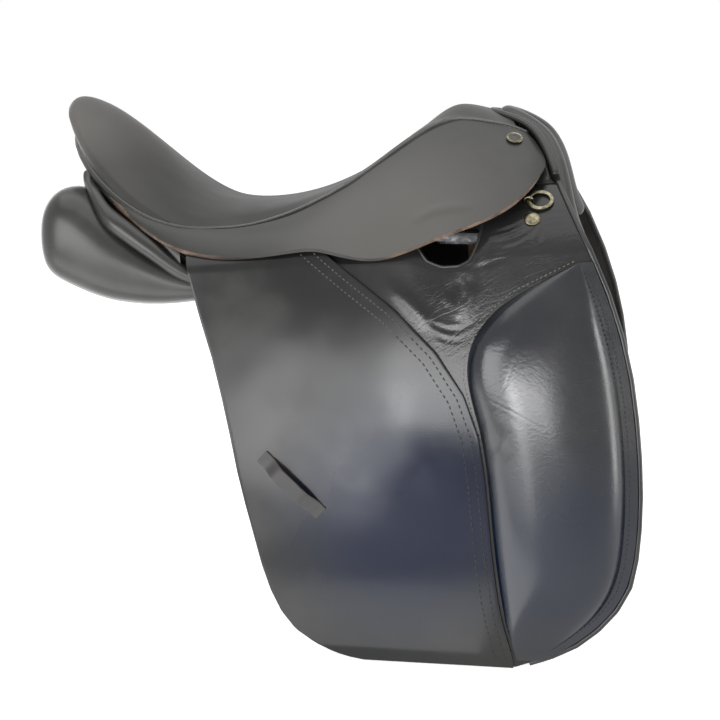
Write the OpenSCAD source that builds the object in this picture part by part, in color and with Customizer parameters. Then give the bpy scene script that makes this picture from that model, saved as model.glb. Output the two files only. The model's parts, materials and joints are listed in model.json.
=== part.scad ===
// Black leather dressage saddle: tree, seat, skirts, flaps, panels, straps and fittings.
// Millimetres. +X is forward, +Y is the near (left) side, +Z is up.
// The origin is on the centre line, at the level where the panels bear.

/* [Leather] */
// thickness of the seat cover
cover_t = 2; // [1.2:0.1:3]
// thickness of the skirts
skirt_t = 3.5; // [2.5:0.1:4.5]
// thickness of the soft upper flap leather
soft_t = 2.5; // [1.5:0.1:3.5]
// thickness of the firm rear section of the flap
firm_t = 3; // [2:0.1:4.5]
// thickness of the knee pad cover
knee_t = 1.6; // [1:0.1:2.5]
// thickness of the sweat flap
sweat_t = 3; // [2:0.1:4]
// clearance between two layers
layer_gap = 0.3; // [0.3:0.05:0.5]

/* [Seat] */
// thickness of the seat foam at the middle
foam_t = 21; // [14:0.5:26]
// thickness of the webs under the foam
web_t = 1.6; // [1:0.1:2.5]
// radius of the welt in the seat seam
seam_r = 1.6; // [1:0.1:2]

/* [Tree] */
// width of a tree rail
rail_w = 26; // [18:1:32]
// thickness of a tree rail
rail_t = 11; // [8:0.5:14]
// thickness of the spring steel under each rail
spring_t = 2.5; // [1.5:0.1:3.5]
// width of the head arch, front to back
head_w = 34; // [24:1:40]
// thickness of the head arch
head_t = 9; // [6:0.5:11]
// thickness of the steel head plate and gullet plate
plate_t = 2.5; // [1.5:0.1:3]
// radius of a tree rivet
rivet_r = 3; // [2:0.1:4]

/* [Flap] */
// height of the knee pad over the flap
pad_h = 23; // [12:1:30]
// width of the flat stitched rim in front of the knee pad
rim_w = 12; // [8:0.5:16]
// radius of the bound front edge
binding_r = 2.4; // [1.6:0.1:3]
// width of the keeper strap
keeper_w = 12; // [8:0.5:16]
// thickness of the keeper strap
keeper_t = 2.4; // [1.5:0.1:3]
// height of the keeper loop
keeper_h = 8; // [5:0.5:12]

/* [Panel] */
// depth of the panel under the middle of the tree
panel_t = 26; // [20:1:34]
// thickness of the panel leather
lining_t = 2; // [1.2:0.1:3]
// radius of the welt along the panel edge
panel_welt_r = 5; // [3:0.1:6]
// radius of the padded roll round the front arch
roll_r = 9; // [7:0.1:10]
// radius of the pommel welt
pommel_r = 4; // [2.5:0.1:4.4]

/* [Girth straps] */
// width of a girth strap
strap_w = 26; // [20:0.5:30]
// thickness of a girth strap
strap_t = 4.5; // [3:0.1:5]
// length of a girth strap
strap_l = 280; // [200:5:320]
// diameter of a buckle hole
hole_d = 6; // [4:0.1:8]
// distance from hole to hole
hole_pitch = 25; // [18:0.5:30]
// number of buckle holes
hole_count = 7; // [4:1:8]

/* [Stirrup bar] */
// length of the bar that carries the stirrup leather
bar_l = 54; // [46:1:60]
// height of the bar
bar_h = 8; // [6:0.5:10]
// thickness of the bar
bar_t = 7; // [6:0.5:8]
// clear slot behind the bar
bar_slot = 16; // [12:0.5:17]
// length of the safety catch
catch_l = 17; // [12:0.5:20]
// radius of the catch pin
pin_r = 1.5; // [1:0.05:2]
// running clearance of the catch on its pin
pin_gap = 0.06; // [0.03:0.01:0.1]

/* [Fittings] */
// middle radius of a dee ring
ring_r = 10; // [8:0.25:12]
// radial width of a dee ring
ring_w = 3.4; // [2:0.1:4]
// thickness of a dee ring
ring_t = 1.8; // [1.2:0.1:2.4]
// wire radius of a dee staple
staple_r = 1; // [0.7:0.05:1.4]
// radius of the domed nail on the flap
nail_r = 7; // [5:0.25:9]
// radius of the button on the skirt
button_r = 7.5; // [5:0.25:9]

/* [Hidden] */
$fn = 40;

black = [0.09, 0.09, 0.10];
soft_black = [0.14, 0.14, 0.15];
wood = [0.62, 0.45, 0.27];
steel = [0.62, 0.63, 0.65];
gold = [0.72, 0.62, 0.40];
foam = [0.80, 0.74, 0.52];
wool = [0.86, 0.84, 0.78];
canvas = [0.70, 0.66, 0.56];

// Curves and solids made from them

function unit(v) = v / norm(v);
function span(p, x, i = 0) = i >= len(p) - 2 || x < p[i + 1][0] ? i : span(p, x, i + 1);
function slope(p, i) =
    let (a = max(i - 1, 0), b = min(i + 1, len(p) - 1))
    (p[b][1] - p[a][1]) / (p[b][0] - p[a][0]);
// value at x of the smooth curve through the pairs [x, value]
function curve(p, x) =
    let (i = span(p, x), h = p[i + 1][0] - p[i][0], t = (x - p[i][0]) / h,
         a = slope(p, i) * h, b = slope(p, i + 1) * h)
    p[i][1] * (2 * t * t * t - 3 * t * t + 1) + a * (t * t * t - 2 * t * t + t)
    + p[i + 1][1] * (3 * t * t - 2 * t * t * t) + b * (t * t * t - t * t);
function numbered(pts) = [for (i = [0 : len(pts) - 1]) [i, pts[i]]];
// count + 1 points along the smooth line through a few points
function line(pts, count) =
    let (k = numbered(pts), last = len(pts) - 1)
    [for (j = [0 : count]) curve(k, last * j / count)];
function heading(p, i) = unit(p[min(i + 1, len(p) - 1)] - p[max(i - 1, 0)]);
// a cross-section carried along a line, one side turned towards up
function swept(p, section, up) =
    [for (i = [0 : len(p) - 1])
        let (t = heading(p, i), s = unit(cross(up, t)), n = cross(t, s))
        [for (q = section) p[i] + q[0] * s + q[1] * n]];
function round_section(r, sides = 6) =
    [for (i = [0 : sides - 1]) r * [cos(360 * i / sides), sin(360 * i / sides)]];
function flat_section(w, t) = [[-w / 2, -t / 2], [w / 2, -t / 2], [w / 2, t / 2], [-w / 2, t / 2]];
function opposite(p) = [for (i = [len(p) - 1 : -1 : 1]) [p[i][0], -p[i][1], p[i][2]]];
function both_sides(p) = concat(opposite(p), p);

// solid through a row of rings with equal counts
module loft(rings) {
    n = len(rings[0]);
    m = len(rings);
    polyhedron(
        points = [for (r = rings) for (p = r) p],
        faces = concat(
            [for (i = [0 : m - 2]) for (j = [0 : n - 1])
                let (k = (j + 1) % n)
                for (f = [[i * n + j, (i + 1) * n + j, i * n + k],
                          [i * n + k, (i + 1) * n + j, (i + 1) * n + k]]) f],
            [[for (j = [0 : n - 1]) j]],
            [[for (j = [n - 1 : -1 : 0]) (m - 1) * n + j]]));
}

// sheet between two grids of points with equal counts
module sheet(outer, inner) {
    m = len(outer);
    n = len(outer[0]);
    o = m * n;
    polyhedron(
        points = concat([for (r = outer) for (p = r) p], [for (r = inner) for (p = r) p]),
        faces = concat(
            [for (i = [0 : m - 2]) for (j = [0 : n - 2])
                let (a = i * n + j, b = a + 1, c = a + n, d = c + 1)
                for (f = [[a, c, b], [b, c, d], [o + a, o + b, o + c], [o + b, o + d, o + c]]) f],
            [for (i = [0 : m - 2])
                let (a = i * n, c = a + n, b = a + n - 1, d = b + n)
                for (f = [[a, o + a, c], [c, o + a, o + c], [b, d, o + b], [d, o + d, o + b]]) f],
            [for (j = [0 : n - 2])
                let (a = j, b = j + 1, c = (m - 1) * n + j, d = c + 1)
                for (f = [[a, b, o + a], [b, o + b, o + a], [c, o + c, d], [d, o + c, o + d]]) f]));
}

// hollow skin between two rows of rings with equal counts
module skin(outer, inner) {
    n = len(outer[0]);
    m = len(outer);
    o = m * n;
    polyhedron(
        points = concat([for (r = outer) for (p = r) p], [for (r = inner) for (p = r) p]),
        faces = concat(
            [for (i = [0 : m - 2]) for (j = [0 : n - 1])
                let (a = i * n + j, b = i * n + (j + 1) % n, c = a + n, d = b + n)
                for (f = [[a, c, b], [b, c, d], [o + a, o + b, o + c], [o + b, o + d, o + c]]) f],
            [for (j = [0 : n - 1])
                let (a = j, b = (j + 1) % n, c = (m - 1) * n + a, d = (m - 1) * n + b)
                for (f = [[a, b, o + a], [b, o + b, o + a], [c, o + c, d], [d, o + c, o + d]]) f]));
}

module tube(p, r, up = [0, 0, 1], sides = 6) {
    loft(swept(p, round_section(r, sides), up));
}

// pieces are drawn for the near side and mirrored for the off side
module on_side(side) {
    if (side == "left")
        children();
    else
        mirror([0, 1, 0]) children();
}

// Seat surface: rows from the pommel (0) to the back of the cantle (14).
// Each row: x and z on the centre line, x, half width and z at the seam, and crown.
seat_rows = numbered([
    [118, 142.5, 158, 57, 124, 1.8],
    [101, 146.5, 141, 57, 130, 2],
    [84, 143, 122, 57.5, 133, 2],
    [60, 124, 92, 60, 136, 2],
    [30, 96, 60, 66, 121, 2],
    [-8, 73, 18, 81, 89, 2],
    [-60, 58, -30, 98, 60, 2],
    [-112, 55, -80, 114.5, 43, 2.2],
    [-150, 67, -112, 120, 40.5, 2],
    [-190, 106, -128, 121.5, 40.5, 1.8],
    [-232, 140, -138, 122, 41, 1.7],
    [-262, 153, -143, 122.3, 41.8, 1.65],
    [-276, 151, -146, 122.5, 42.2, 1.75],
    [-280, 141, -149, 122.5, 42.6, 1.8],
    [-270, 122, -170, 119.5, 47, 1.9]
]);
seat_last = 14;
seat_crest = 11;

function seat_point(u, v) =
    let (r = curve(seat_rows, v), a = abs(u), y = 1.25 * a - 0.25 * a * a * a,
         sweep = 2.5 - 1.4 * (1 - ramp(v, 0, 2.5)) - 0.55 * ramp(v, 9, 12))
    [r[0] + (r[2] - r[0]) * pow(a, sweep), sign(u) * r[3] * y, r[1] + (r[4] - r[1]) * pow(y, r[5])];
function seat_normal(u, v) =
    let (a = max(u - 0.02, -1), b = min(u + 0.02, 1), c = max(v - 0.05, 0), d = min(v + 0.05, seat_last))
    unit(cross(seat_point(b, v) - seat_point(a, v), seat_point(u, d) - seat_point(u, c)));
function seat_depth(u, v, d) = seat_point(u, v) - d * seat_normal(u, v);
function ramp(x, a, b) = let (t = min(1, max(0, (x - a) / (b - a)))) t * t * (3 - 2 * t);
// foam is thin at the seams, the pommel and the cantle
function foam_depth(u, v) =
    7 + (foam_t - 7) * (1 - pow(abs(u), 3)) * ramp(v, 0, 4) * (1 - 0.7 * ramp(v, 8, seat_crest));

seat_top = cover_t + layer_gap;
web_gap = 2.5 * layer_gap;
seat_pack = seat_top + foam_t + web_gap + web_t;
// the cover stops short of the welt in its seam
function seam_u(v) = 1 - 2 * (seam_r + 2 * layer_gap) / curve(seat_rows, v)[3];
seam_v = seat_last - 0.3;

// the layers share one grid of columns and rows, so that they lie parallel
seat_cols = 8;
seat_count = 26;
function seat_cell(i, j, d) =
    let (v = seam_v * j / seat_count, u = seam_u(v) * i / seat_cols)
    seat_depth(u, v, d);
function foam_cell(i, j, d) =
    let (v = seam_v * j / seat_count, u = seam_u(v) * i / seat_cols)
    seat_depth(u, v, seat_top + foam_depth(u, v) + d);

module seat_cover() {
    color(black)
        sheet([for (j = [0 : seat_count]) [for (i = [-seat_cols : seat_cols]) seat_cell(i, j, 0)]],
              [for (j = [0 : seat_count]) [for (i = [-seat_cols : seat_cols]) seat_cell(i, j, cover_t)]]);
}

module seat_foam() {
    color(foam)
        sheet([for (j = [1 : 20]) [for (i = [-7 : 7]) seat_cell(i, j, seat_top)]],
              [for (j = [1 : 20]) [for (i = [-7 : 7]) foam_cell(i, j, 0)]]);
}

// two webs run from the head to the cantle under the foam
module seat_webs() {
    color(canvas)
        for (first = [1, -4])
            sheet([for (j = [4 : 18]) [for (i = [first : first + 3]) foam_cell(i, j, web_gap)]],
                  [for (j = [4 : 18]) [for (i = [first : first + 3]) foam_cell(i, j, web_gap + web_t)]]);
}

// Seat seam: round the back of the cantle, then forward along the near side
function seam_point(s) =
    s < 1 ? seat_point(s, seat_last) : seat_point(1, seat_last * (2 - s));
seam_steps = concat([for (i = [0 : 7]) i / 8], [for (i = [0 : 18]) 1 + pow(i / 18, 0.75)]);

module seat_welt() {
    half = [for (s = seam_steps) seam_point(s) + [0, 0, -seam_r * 0.2]];
    ring = both_sides(half);
    color(black) tube(ring, seam_r);
}

// Skirt: from the seat seam down to a free edge
skirt_edge = numbered([
    [-264, 0.9, 104], [-257, 40, 97], [-244, 70, 84.5], [-229, 92, 71], [-193, 117, 45],
    [-157, 135, 27.5], [-116, 148, 17], [-58, 154, 22.5], [-22, 156, 30], [5, 157, 24],
    [31, 157.5, 20], [56, 157.5, 26], [85, 156, 39], [123, 150, 53], [145, 142, 64],
    [161, 129, 76.5], [171.5, 109.5, 88], [174, 90, 100], [168.5, 73, 110.5], [162.5, 62.5, 118.5]
]);
// place of each edge point along the seam
skirt_seat = numbered([
    0.005, 0.26, 0.48, 0.66, 0.86, 0.99, 1.3, 1.49, 1.55, 1.6, 1.645, 1.69, 1.745, 1.81, 1.85,
    1.885, 1.92, 1.95, 1.975, 1.99
]);
skirt_last = 19;
skirt_bulge = 5;

function skirt_point(k, w, d) =
    let (top = seam_point(curve(skirt_seat, k)), low = curve(skirt_edge, k), run = low - top,
         along = curve(skirt_edge, k + 0.1) - curve(skirt_edge, k - 0.1), out = unit(cross(along, run)),
         start = 3.5 * seam_r / norm(run), f = start + (1 - start) * w)
    top + f * run + (skirt_bulge * 4 * f * (1 - f) * min(1, norm(run) / 80) + d) * out;

module skirt(side) {
    ks = [for (i = [28 : -1 : 0]) skirt_last * i / 28];
    ws = [0, 0.2, 0.45, 0.7, 0.88, 1];
    color(black)
        on_side(side)
            sheet([for (k = ks) [for (w = ws) skirt_point(k, w, 0)]],
                  [for (k = ks) [for (w = ws) skirt_point(k, w, -skirt_t)]]);
}

// leather that closes the space between the skirts and the panels round the cantle
facing_in = 4;
facing_last = 5.4;
// how far it reaches below the skirt
facing_drop = [[0, 12], [1, 13], [2, 16], [3, 13], [4, 13], [facing_last, 10]];
function facing_rows(d) =
    [for (i = [0 : 16])
        let (k = facing_last * i / 16, in = -skirt_t - facing_in - d, edge = skirt_point(k, 1, in))
        [for (p = [skirt_point(k, 0.55, in), edge, edge - [0, 0, curve(facing_drop, k)]])
            i == 0 ? [p[0], 0, p[2]] : p]];
module rear_facing() {
    color(black)
        sheet(mirrored_rows(facing_rows(cover_t)), mirrored_rows(facing_rows(0)));
}
function mirrored_rows(g) =
    concat([for (i = [len(g) - 1 : -1 : 1]) [for (p = g[i]) [p[0], -p[1], p[2]]]], g);

// turns the Z axis of a small fitting to face out of a sloping sheet
module facing(p, out) {
    translate(p) rotate([-atan2(out[1], out[2]), 0, 0]) children();
}

// turns the Z axis of a small fitting to any direction
module seated(p, out) {
    translate(p) rotate([0, acos(out[2]), atan2(out[1], out[0])]) children();
}

button_k = 15.7;
button_w = 0.29;
module skirt_buttons() {
    p = skirt_point(button_k, button_w, 2 * layer_gap);
    ahead = skirt_point(button_k + 0.2, button_w, 0) - skirt_point(button_k - 0.2, button_w, 0);
    down = skirt_point(button_k, button_w + 0.1, 0) - skirt_point(button_k, button_w - 0.1, 0);
    color(gold)
        for (side = ["left", "right"])
            on_side(side)
                seated(p, unit(cross(ahead, down)))
                    rotate_extrude()
                        polygon([[0, 0], [button_r, 0], [button_r, 0.8], [button_r - 1, 1.8],
                                 [button_r - 2, 1.4], [0, 1.9]]);
}

// Tree: two rails joined round the cantle, and a head arch with its steel plates.
// Rail points: x, y and the height of the seat surface over the rail.
rail_guide = [
    [-239, 0, 131], [-232, 37, 121.5], [-220, 58, 102], [-204, 73, 85.5], [-186, 82, 73],
    [-165, 88, 63], [-130, 88, 55], [-80, 86, 54], [-30, 82, 59], [20, 74, 70], [60, 66, 90],
    [102, 60, 111]
];
rail_count = 44;
function rail_line(d) = both_sides([for (p = rail_guide) [p[0], p[1], p[2] - seat_pack - d]]);

module tree_rails() {
    color(wood)
        loft(swept(line(rail_line(rail_t / 2), rail_count), flat_section(rail_w, rail_t), [0, 0, 1]));
}

module tree_springs() {
    p = line(rail_line(rail_t / 2), rail_count);
    drop = rail_t / 2 + layer_gap + spring_t / 2;
    section = [for (q = flat_section(rail_w * 0.7, spring_t)) q - [0, drop]];
    color(steel)
        for (side = ["left", "right"])
            on_side(side)
                loft(swept([for (i = [32 : rail_count - 2]) p[i]], section, [0, 0, 1]));
}

head_guide = [
    [112, 0, 121], [115, 24, 116], [119, 44, 101], [122, 60, 79], [124, 77, 54], [127, 95, 26],
    [129, 106, 6]
];
head_count = 24;
head_line = line(both_sides(head_guide), head_count);
function head_out(i) = unit(cross([1, 0, 0], heading(head_line, i)));
// arch between two distances from its own line, cut short by some stations at each foot
module arch(w, near, far, short = 0) {
    loft([for (i = [short : head_count - short])
            [for (q = [[-w / 2, far], [w / 2, far], [w / 2, near], [-w / 2, near]])
                head_line[i] + [q[0], 0, 0] + q[1] * head_out(i)]]);
}
module tree_head() {
    color(wood)
        difference() {
            arch(head_w, -head_t / 2, head_t / 2);
            head_rivets(rivet_r, head_t * 2);
        }
}
plate_from = head_t / 2 + layer_gap / 3;
module head_plate() {
    color(steel) arch(head_w * 0.7, plate_from, plate_from + plate_t, 2);
}
module gullet_plate() {
    color(steel) arch(head_w * 0.7, -plate_from - plate_t, -plate_from, 2);
}
module head_rivets(r, h) {
    for (i = [5, 9, 15, 19])
        facing(head_line[i], head_out(i)) cylinder(r = r, h = h, center = true);
}
module tree_rivets() {
    color(steel) head_rivets(rivet_r - layer_gap / 10, head_t - 2 * layer_gap);
}

// Pommel welt and padded roll round the front of the arch
pommel_guide = [
    [124, 0, 139.3], [127, 10, 138.9], [138, 25, 136.5], [154, 42, 131.5], [166, 56, 124], [175, 70, 113],
    [182, 84, 99], [186, 93, 88.5]
];
roll_guide = [
    [138.5, 0, 135.8], [142, 9, 134.8], [154, 23, 130], [170, 41, 120], [179, 55, 108], [185, 69, 95],
    [190, 84, 78], [194, 97, 62], [199, 110, 47], [205, 123, 35]
];
module pommel_welt() {
    color(black) tube(line(both_sides(pommel_guide), 28), pommel_r, [1, 0, 0]);
}
module panel_roll() {
    color(soft_black) tube(line(both_sides(roll_guide), 36), roll_r, [1, 0, 0], 8);
}

// leather that closes the head behind the pommel welt, down to the yoke
head_back = 44;
head_in = 5.5;
function head_point(p, w, d) =
    p - [pommel_r + 2 * layer_gap + head_back * w, 0, 0] - [0, 0.7, 0.7] * (head_in * (1 + w) + d);
function head_foot(w, d) =
    let (h = yoke_h + fold_gap)
    yoke_point(curve(yoke_front, yoke_h) - 2 - head_back * w, h, -d);
module head_cover(side) {
    p = line([for (i = [3 : 7]) pommel_guide[i]], 8);
    ws = [1, 0.5, 0];
    color(black)
        on_side(side)
            sheet(concat([for (q = p) [for (w = ws) head_point(q, w, 0)]],
                         [[for (w = ws) head_foot(w, 0)]]),
                  concat([for (q = p) [for (w = ws) head_point(q, w, cover_t)]],
                         [[for (w = ws) head_foot(w, cover_t)]]));
}

// Flap fold: a straight line; the flap hangs below it and the yoke rises above it
fold_y = 150;
fold_z = 12.9;
fold_rise = 0.082;
fold_gap = 0.3;
flap_rear_l = 346;
flap_front_l = 357;

function fold_height(x) = fold_z + fold_rise * x;
function flap_bow(t) = 0.14 * t - 0.00012 * t * t;
function flap_point(x, t, w) = [x, fold_y + flap_bow(t) + w, fold_height(x) - t];

// Flap outline, as x at a share r of the flap length
rear_edge = [
    [0, -130], [0.06, -124.5], [0.2, -109], [0.36, -95], [0.52, -83], [0.68, -68], [0.77, -59],
    [0.84, -49], [0.9, -36], [0.94, -20], [0.97, -2], [0.99, 14], [1, 30]
];
front_edge = [
    [0, 216], [0.07, 227], [0.14, 237], [0.27, 250.5], [0.42, 259.5], [0.57, 264], [0.68, 264],
    [0.75, 262], [0.8, 259], [0.85, 251], [0.89, 240], [0.93, 225], [0.96, 208], [0.98, 190],
    [1, 164]
];
// front edge of the firm section
firm_edge = [
    [0, 4], [0.03, 18], [0.08, 38], [0.16, 70], [0.27, 101], [0.33, 113], [0.39, 122.5], [0.47, 129],
    [0.57, 134], [0.7, 139], [0.85, 147], [0.92, 153], [0.97, 159], [1, 161]
];
// rear and upper edge of the knee pad
pad_edge = [
    [0.024, 210], [0.034, 199], [0.05, 180], [0.077, 162], [0.1, 150], [0.14, 132], [0.18, 121],
    [0.22, 115.5], [0.26, 114], [0.31, 116], [0.36, 121], [0.4, 126], [0.47, 131.5], [0.57, 136.5],
    [0.7, 141.5], [0.85, 149.5], [0.92, 155.5], [0.97, 162], [1, 166]
];
function flap_share(x, r) = (x - curve(rear_edge, r)) / (curve(front_edge, r) - curve(rear_edge, r));
function flap_at(x, r, w) =
    let (f = flap_share(x, r), l = flap_rear_l + (flap_front_l - flap_rear_l) * f)
    flap_point(x, fold_gap + r * (l - fold_gap), w);
function mix(a, b, f) = a + (b - a) * f;
firm_w = layer_gap + firm_t;
// the leather ends this far inside the bound front edge
edge_in = 1.5;

module flap(side) {
    rs = [for (i = [0 : 15]) sin(90 * i / 15)];
    fs = [for (j = [0 : 9]) j / 9];
    color(soft_black)
        on_side(side)
            sheet([for (r = rs) [for (f = fs) flap_base(f, r, 0)]],
                  [for (r = rs) [for (f = fs) flap_base(f, r, -soft_t)]]);
}
function flap_base(f, r, w) = flap_at(mix(curve(rear_edge, r), curve(front_edge, r) - edge_in, f), r, w);

module flap_firm(side) {
    rs = [for (i = [0 : 14]) sin(90 * i / 14)];
    fs = [for (j = [0 : 5]) j / 5];
    color(black)
        on_side(side)
            sheet([for (r = rs) [for (f = fs) firm_point(f, r, firm_w)]],
                  [for (r = rs) [for (f = fs) firm_point(f, r, layer_gap)]]);
}
function firm_point(f, r, w) = flap_at(mix(curve(rear_edge, r), curve(firm_edge, r), f), r, w);

// Knee pad: a dome that falls to a flat rim at the front and below
pad_from = 0.026;
pad_to = 0.985;
pad_low = 0.965;
function pad_x(g, r) = mix(curve(pad_edge, r), curve(front_edge, r) - rim_w, g);
function pad_height(g, r) =
    let (q = min(1, (r - pad_from) / (pad_low - pad_from)),
         across = pow(1 - pow(abs(2 * g - 1), 3.2), 0.75),
         along = pow(1 - pow(abs(2 * q - 1), 4), 0.8),
         room = min(1, (curve(front_edge, r) - rim_w - curve(pad_edge, r)) / 90))
    pad_h * across * along * max(room, 0.05);
pad_rs = concat([for (i = [0 : 14]) mix(pad_from, pad_low, i / 14)], [pad_to]);
pad_gs = [0, 0.06, 0.16, 0.3, 0.45, 0.6, 0.75, 0.87, 0.95, 1];

function knee_row(r, d) =
    concat([for (g = pad_gs) flap_at(pad_x(g, r), r, layer_gap + d + pad_height(g, r))],
           [flap_at(curve(front_edge, r) - edge_in, r, layer_gap + d)]);
module knee_cover(side) {
    color(black)
        on_side(side)
            sheet([for (r = pad_rs) knee_row(r, knee_t)], [for (r = pad_rs) knee_row(r, 0)]);
}
module knee_block(side) {
    rs = [for (i = [2 : 13]) pad_rs[i]];
    gs = [for (i = [1 : 8]) pad_gs[i]];
    color(foam)
        on_side(side)
            sheet([for (r = rs) [for (g = gs) flap_at(pad_x(g, r), r, pad_height(g, r))]],
                  [for (r = rs) [for (g = gs) flap_at(pad_x(g, r), r, layer_gap)]]);
}

module flap_binding(side) {
    edge = [for (i = [0 : 20])
            let (r = 0.012 + 0.98 * sin(90 * i / 20))
            flap_at(curve(front_edge, r) - edge_in, r, -soft_t / 2)];
    p = [for (i = [0 : 20]) edge[i] + (binding_r + layer_gap) * unit(cross(heading(edge, i), [0, 1, 0]))];
    color(black) on_side(side) tube(p, binding_r, [0, 1, 0]);
}

// keeper strap: a bowed loop sewn to the firm section at both ends
keeper_from = [-62, 160];
keeper_to = [-9, 213];
module keeper(side) {
    along = unit(keeper_to - keeper_from);
    across = [along[1], -along[0]] * keeper_w / 2;
    ss = [for (i = [0 : 14]) i / 14];
    color(black)
        on_side(side)
            sheet([for (s = ss) [for (e = [-1, 1]) keeper_point(s, e * across, keeper_t)]],
                  [for (s = ss) [for (e = [-1, 1]) keeper_point(s, e * across, 0)]]);
}
function keeper_point(s, off, d) =
    let (p = mix(keeper_from, keeper_to, s) + off, b = ramp(s, 0.1, 0.3) * (1 - ramp(s, 0.7, 0.9)))
    flap_point(p[0], p[1], firm_w + layer_gap + keeper_h * b + d);

// Yoke: the fixed leather above the fold, cut away round the stirrup bar
yoke_xs = [
    -130, -100, -60, -20, 20, 46, 58, 65, 70, 78, 92, 106, 116, 122, 126, 131, 145, 162, 180, 198, 216
];
yoke_h = 54;
// height of the upper edge over the fold; the dip is the stirrup bar recess
yoke_top = [
    [-130, 22], [-60, 24], [0, 28], [40, 36], [58, 38], [65, 30], [70, 14], [78, 6], [92, 4], [106, 4],
    [116, 8], [122, 18], [126, 36], [131, yoke_h - 2], [136, yoke_h], [216, yoke_h]
];
yoke_front = [[0, 216], [14, 208], [34, 199], [yoke_h, 187]];
function yoke_lean(x) = 1 + 0.5 * ramp(-x, -60, 100);
function yoke_fall(x, h) = yoke_lean(x) * (0.45 * h + 0.01 * h * h);
function yoke_slope(x, h) = yoke_lean(x) * (0.45 + 0.02 * h);
function yoke_out(x, h) = unit([0, 1, yoke_slope(x, h) * ramp(h, 0, 8)]);
function yoke_point(x, h, d) =
    [x, fold_y - yoke_fall(x, h), fold_height(x) + h] + d * yoke_out(x, h);
function yoke_x(x, h) = x - (216 - curve(yoke_front, h)) * max(0, (x - 140) / 76);

module yoke(side) {
    ws = [0, 0.25, 0.5, 0.75, 1];
    color(soft_black)
        on_side(side)
            sheet([for (x = yoke_xs) [for (w = ws) yoke_cell(x, w, 0)]],
                  [for (x = yoke_xs) [for (w = ws) yoke_cell(x, w, -soft_t)]]);
}
function yoke_cell(x, w, d) =
    let (h = mix(fold_gap, curve(yoke_top, x), w))
    yoke_point(yoke_x(x, h), h, d);

module yoke_binding(side) {
    p = [for (i = [0 : 8])
            let (h = 2 + (yoke_h - 2) * i / 8)
            yoke_point(curve(yoke_front, h) + 1.2 * binding_r + layer_gap, h, -soft_t / 2)];
    color(black) on_side(side) tube(p, binding_r, [0, 1, 0]);
}

nail_x = 167;
nail_h = 27;
module flap_nails() {
    p = yoke_point(nail_x, nail_h, 2 * layer_gap);
    color(gold)
        for (side = ["left", "right"])
            on_side(side)
                facing(p, yoke_out(nail_x, nail_h))
                    rotate_extrude()
                        polygon([[0, 0], [nail_r, 0], [nail_r, 0.6], [nail_r - 1.5, 1.6], [0, 2.2]]);
}

// Dee: a ring that swings in a staple on the yoke
dee_x = 163;
dee_h = 40.5;
dee_lift = 2.8;
module at_dee() {
    facing(yoke_point(dee_x, dee_h, 0), yoke_out(dee_x, dee_h)) children();
}
staple_in = sqrt(ring_w * ring_w + ring_t * ring_t) / 2 + 1.4 * layer_gap;
module dee_staple(side) {
    mid = staple_in + staple_r;
    color(gold)
        on_side(side)
            at_dee()
                translate([0, 0, dee_lift])
                    rotate([90, 0, 0]) {
                        rotate_extrude(angle = 180) translate([mid, 0]) circle(staple_r, $fn = 16);
                        for (e = [-1, 1])
                            translate([e * mid, layer_gap - dee_lift, 0])
                                rotate([-90, 0, 0])
                                    cylinder(r = staple_r, h = dee_lift - layer_gap, $fn = 16);
                    }
}
module dee_ring(side) {
    color(gold)
        on_side(side)
            at_dee()
                translate([ring_r, 0, dee_lift])
                    rotate_extrude()
                        translate([ring_r - ring_w / 2, -ring_t / 2])
                            square([ring_w, ring_t]);
}

// Panel: stations x, y, height over the belly line, half width, half depth share, roll
belly = -seat_pack - rail_t - spring_t;
panel_guide = numbered([
    [-283.5, 86, 66, 2.4, 2.4, 0], [-277, 86, 66, 29, 30, 0], [-263, 86, 67, 41, 42, 0],
    [-243, 85, 62, 46, 46, 0], [-220, 84, 48, 49, 40, 0], [-195, 83, 37, 49, 32, 0],
    [-165, 83, 28, 48, 23, 0], [-130, 82, 25.5, 48, 15, 0], [-80, 80, 31, 50, 13, 2],
    [-20, 76, 41, 50, 12, 10], [40, 69, 53, 48, 12, 28], [90, 61, 63, 48, 12, 42],
    [130, 61, 72, 50, 12, 50], [165, 69, 85, 50, 12, 52], [181, 77, 91, 46, 9, 53]
]);
panel_share = panel_t / 26;
function panel_mid(g) = belly + g[2] - g[4] * (panel_share - 1);
function panel_ring(k, d, sides) =
    let (g = curve(panel_guide, k), b = g[4] * panel_share - d, a = g[3] - d, z = panel_mid(g))
    [for (i = [0 : sides - 1])
        let (c = cos(360 * i / sides), s = sin(360 * i / sides),
             y = a * sign(c) * pow(abs(c), 0.8), h = b * sign(s) * pow(abs(s), 0.8))
        [g[0], g[1] + y * cos(g[5]) + h * sin(g[5]), z - y * sin(g[5]) + h * cos(g[5])]];

module panel(side) {
    color(soft_black)
        on_side(side)
            skin([for (i = [0 : 20]) panel_ring(i * 0.7, 0, 14)],
                 [for (i = [0 : 20]) panel_ring(i * 0.7, lining_t, 14)]);
}
module panel_flock(side) {
    color(wool)
        on_side(side)
            loft([for (i = [2 : 18]) panel_ring(i * 0.7, lining_t + layer_gap, 14)]);
}

// the welt lies on the panel, from its top at the back to its outer side at the waist
welt_turn = [[2.9, 91], [3.8, 66], [4.6, 50], [5.8, 35], [7.6, 20]];
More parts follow.
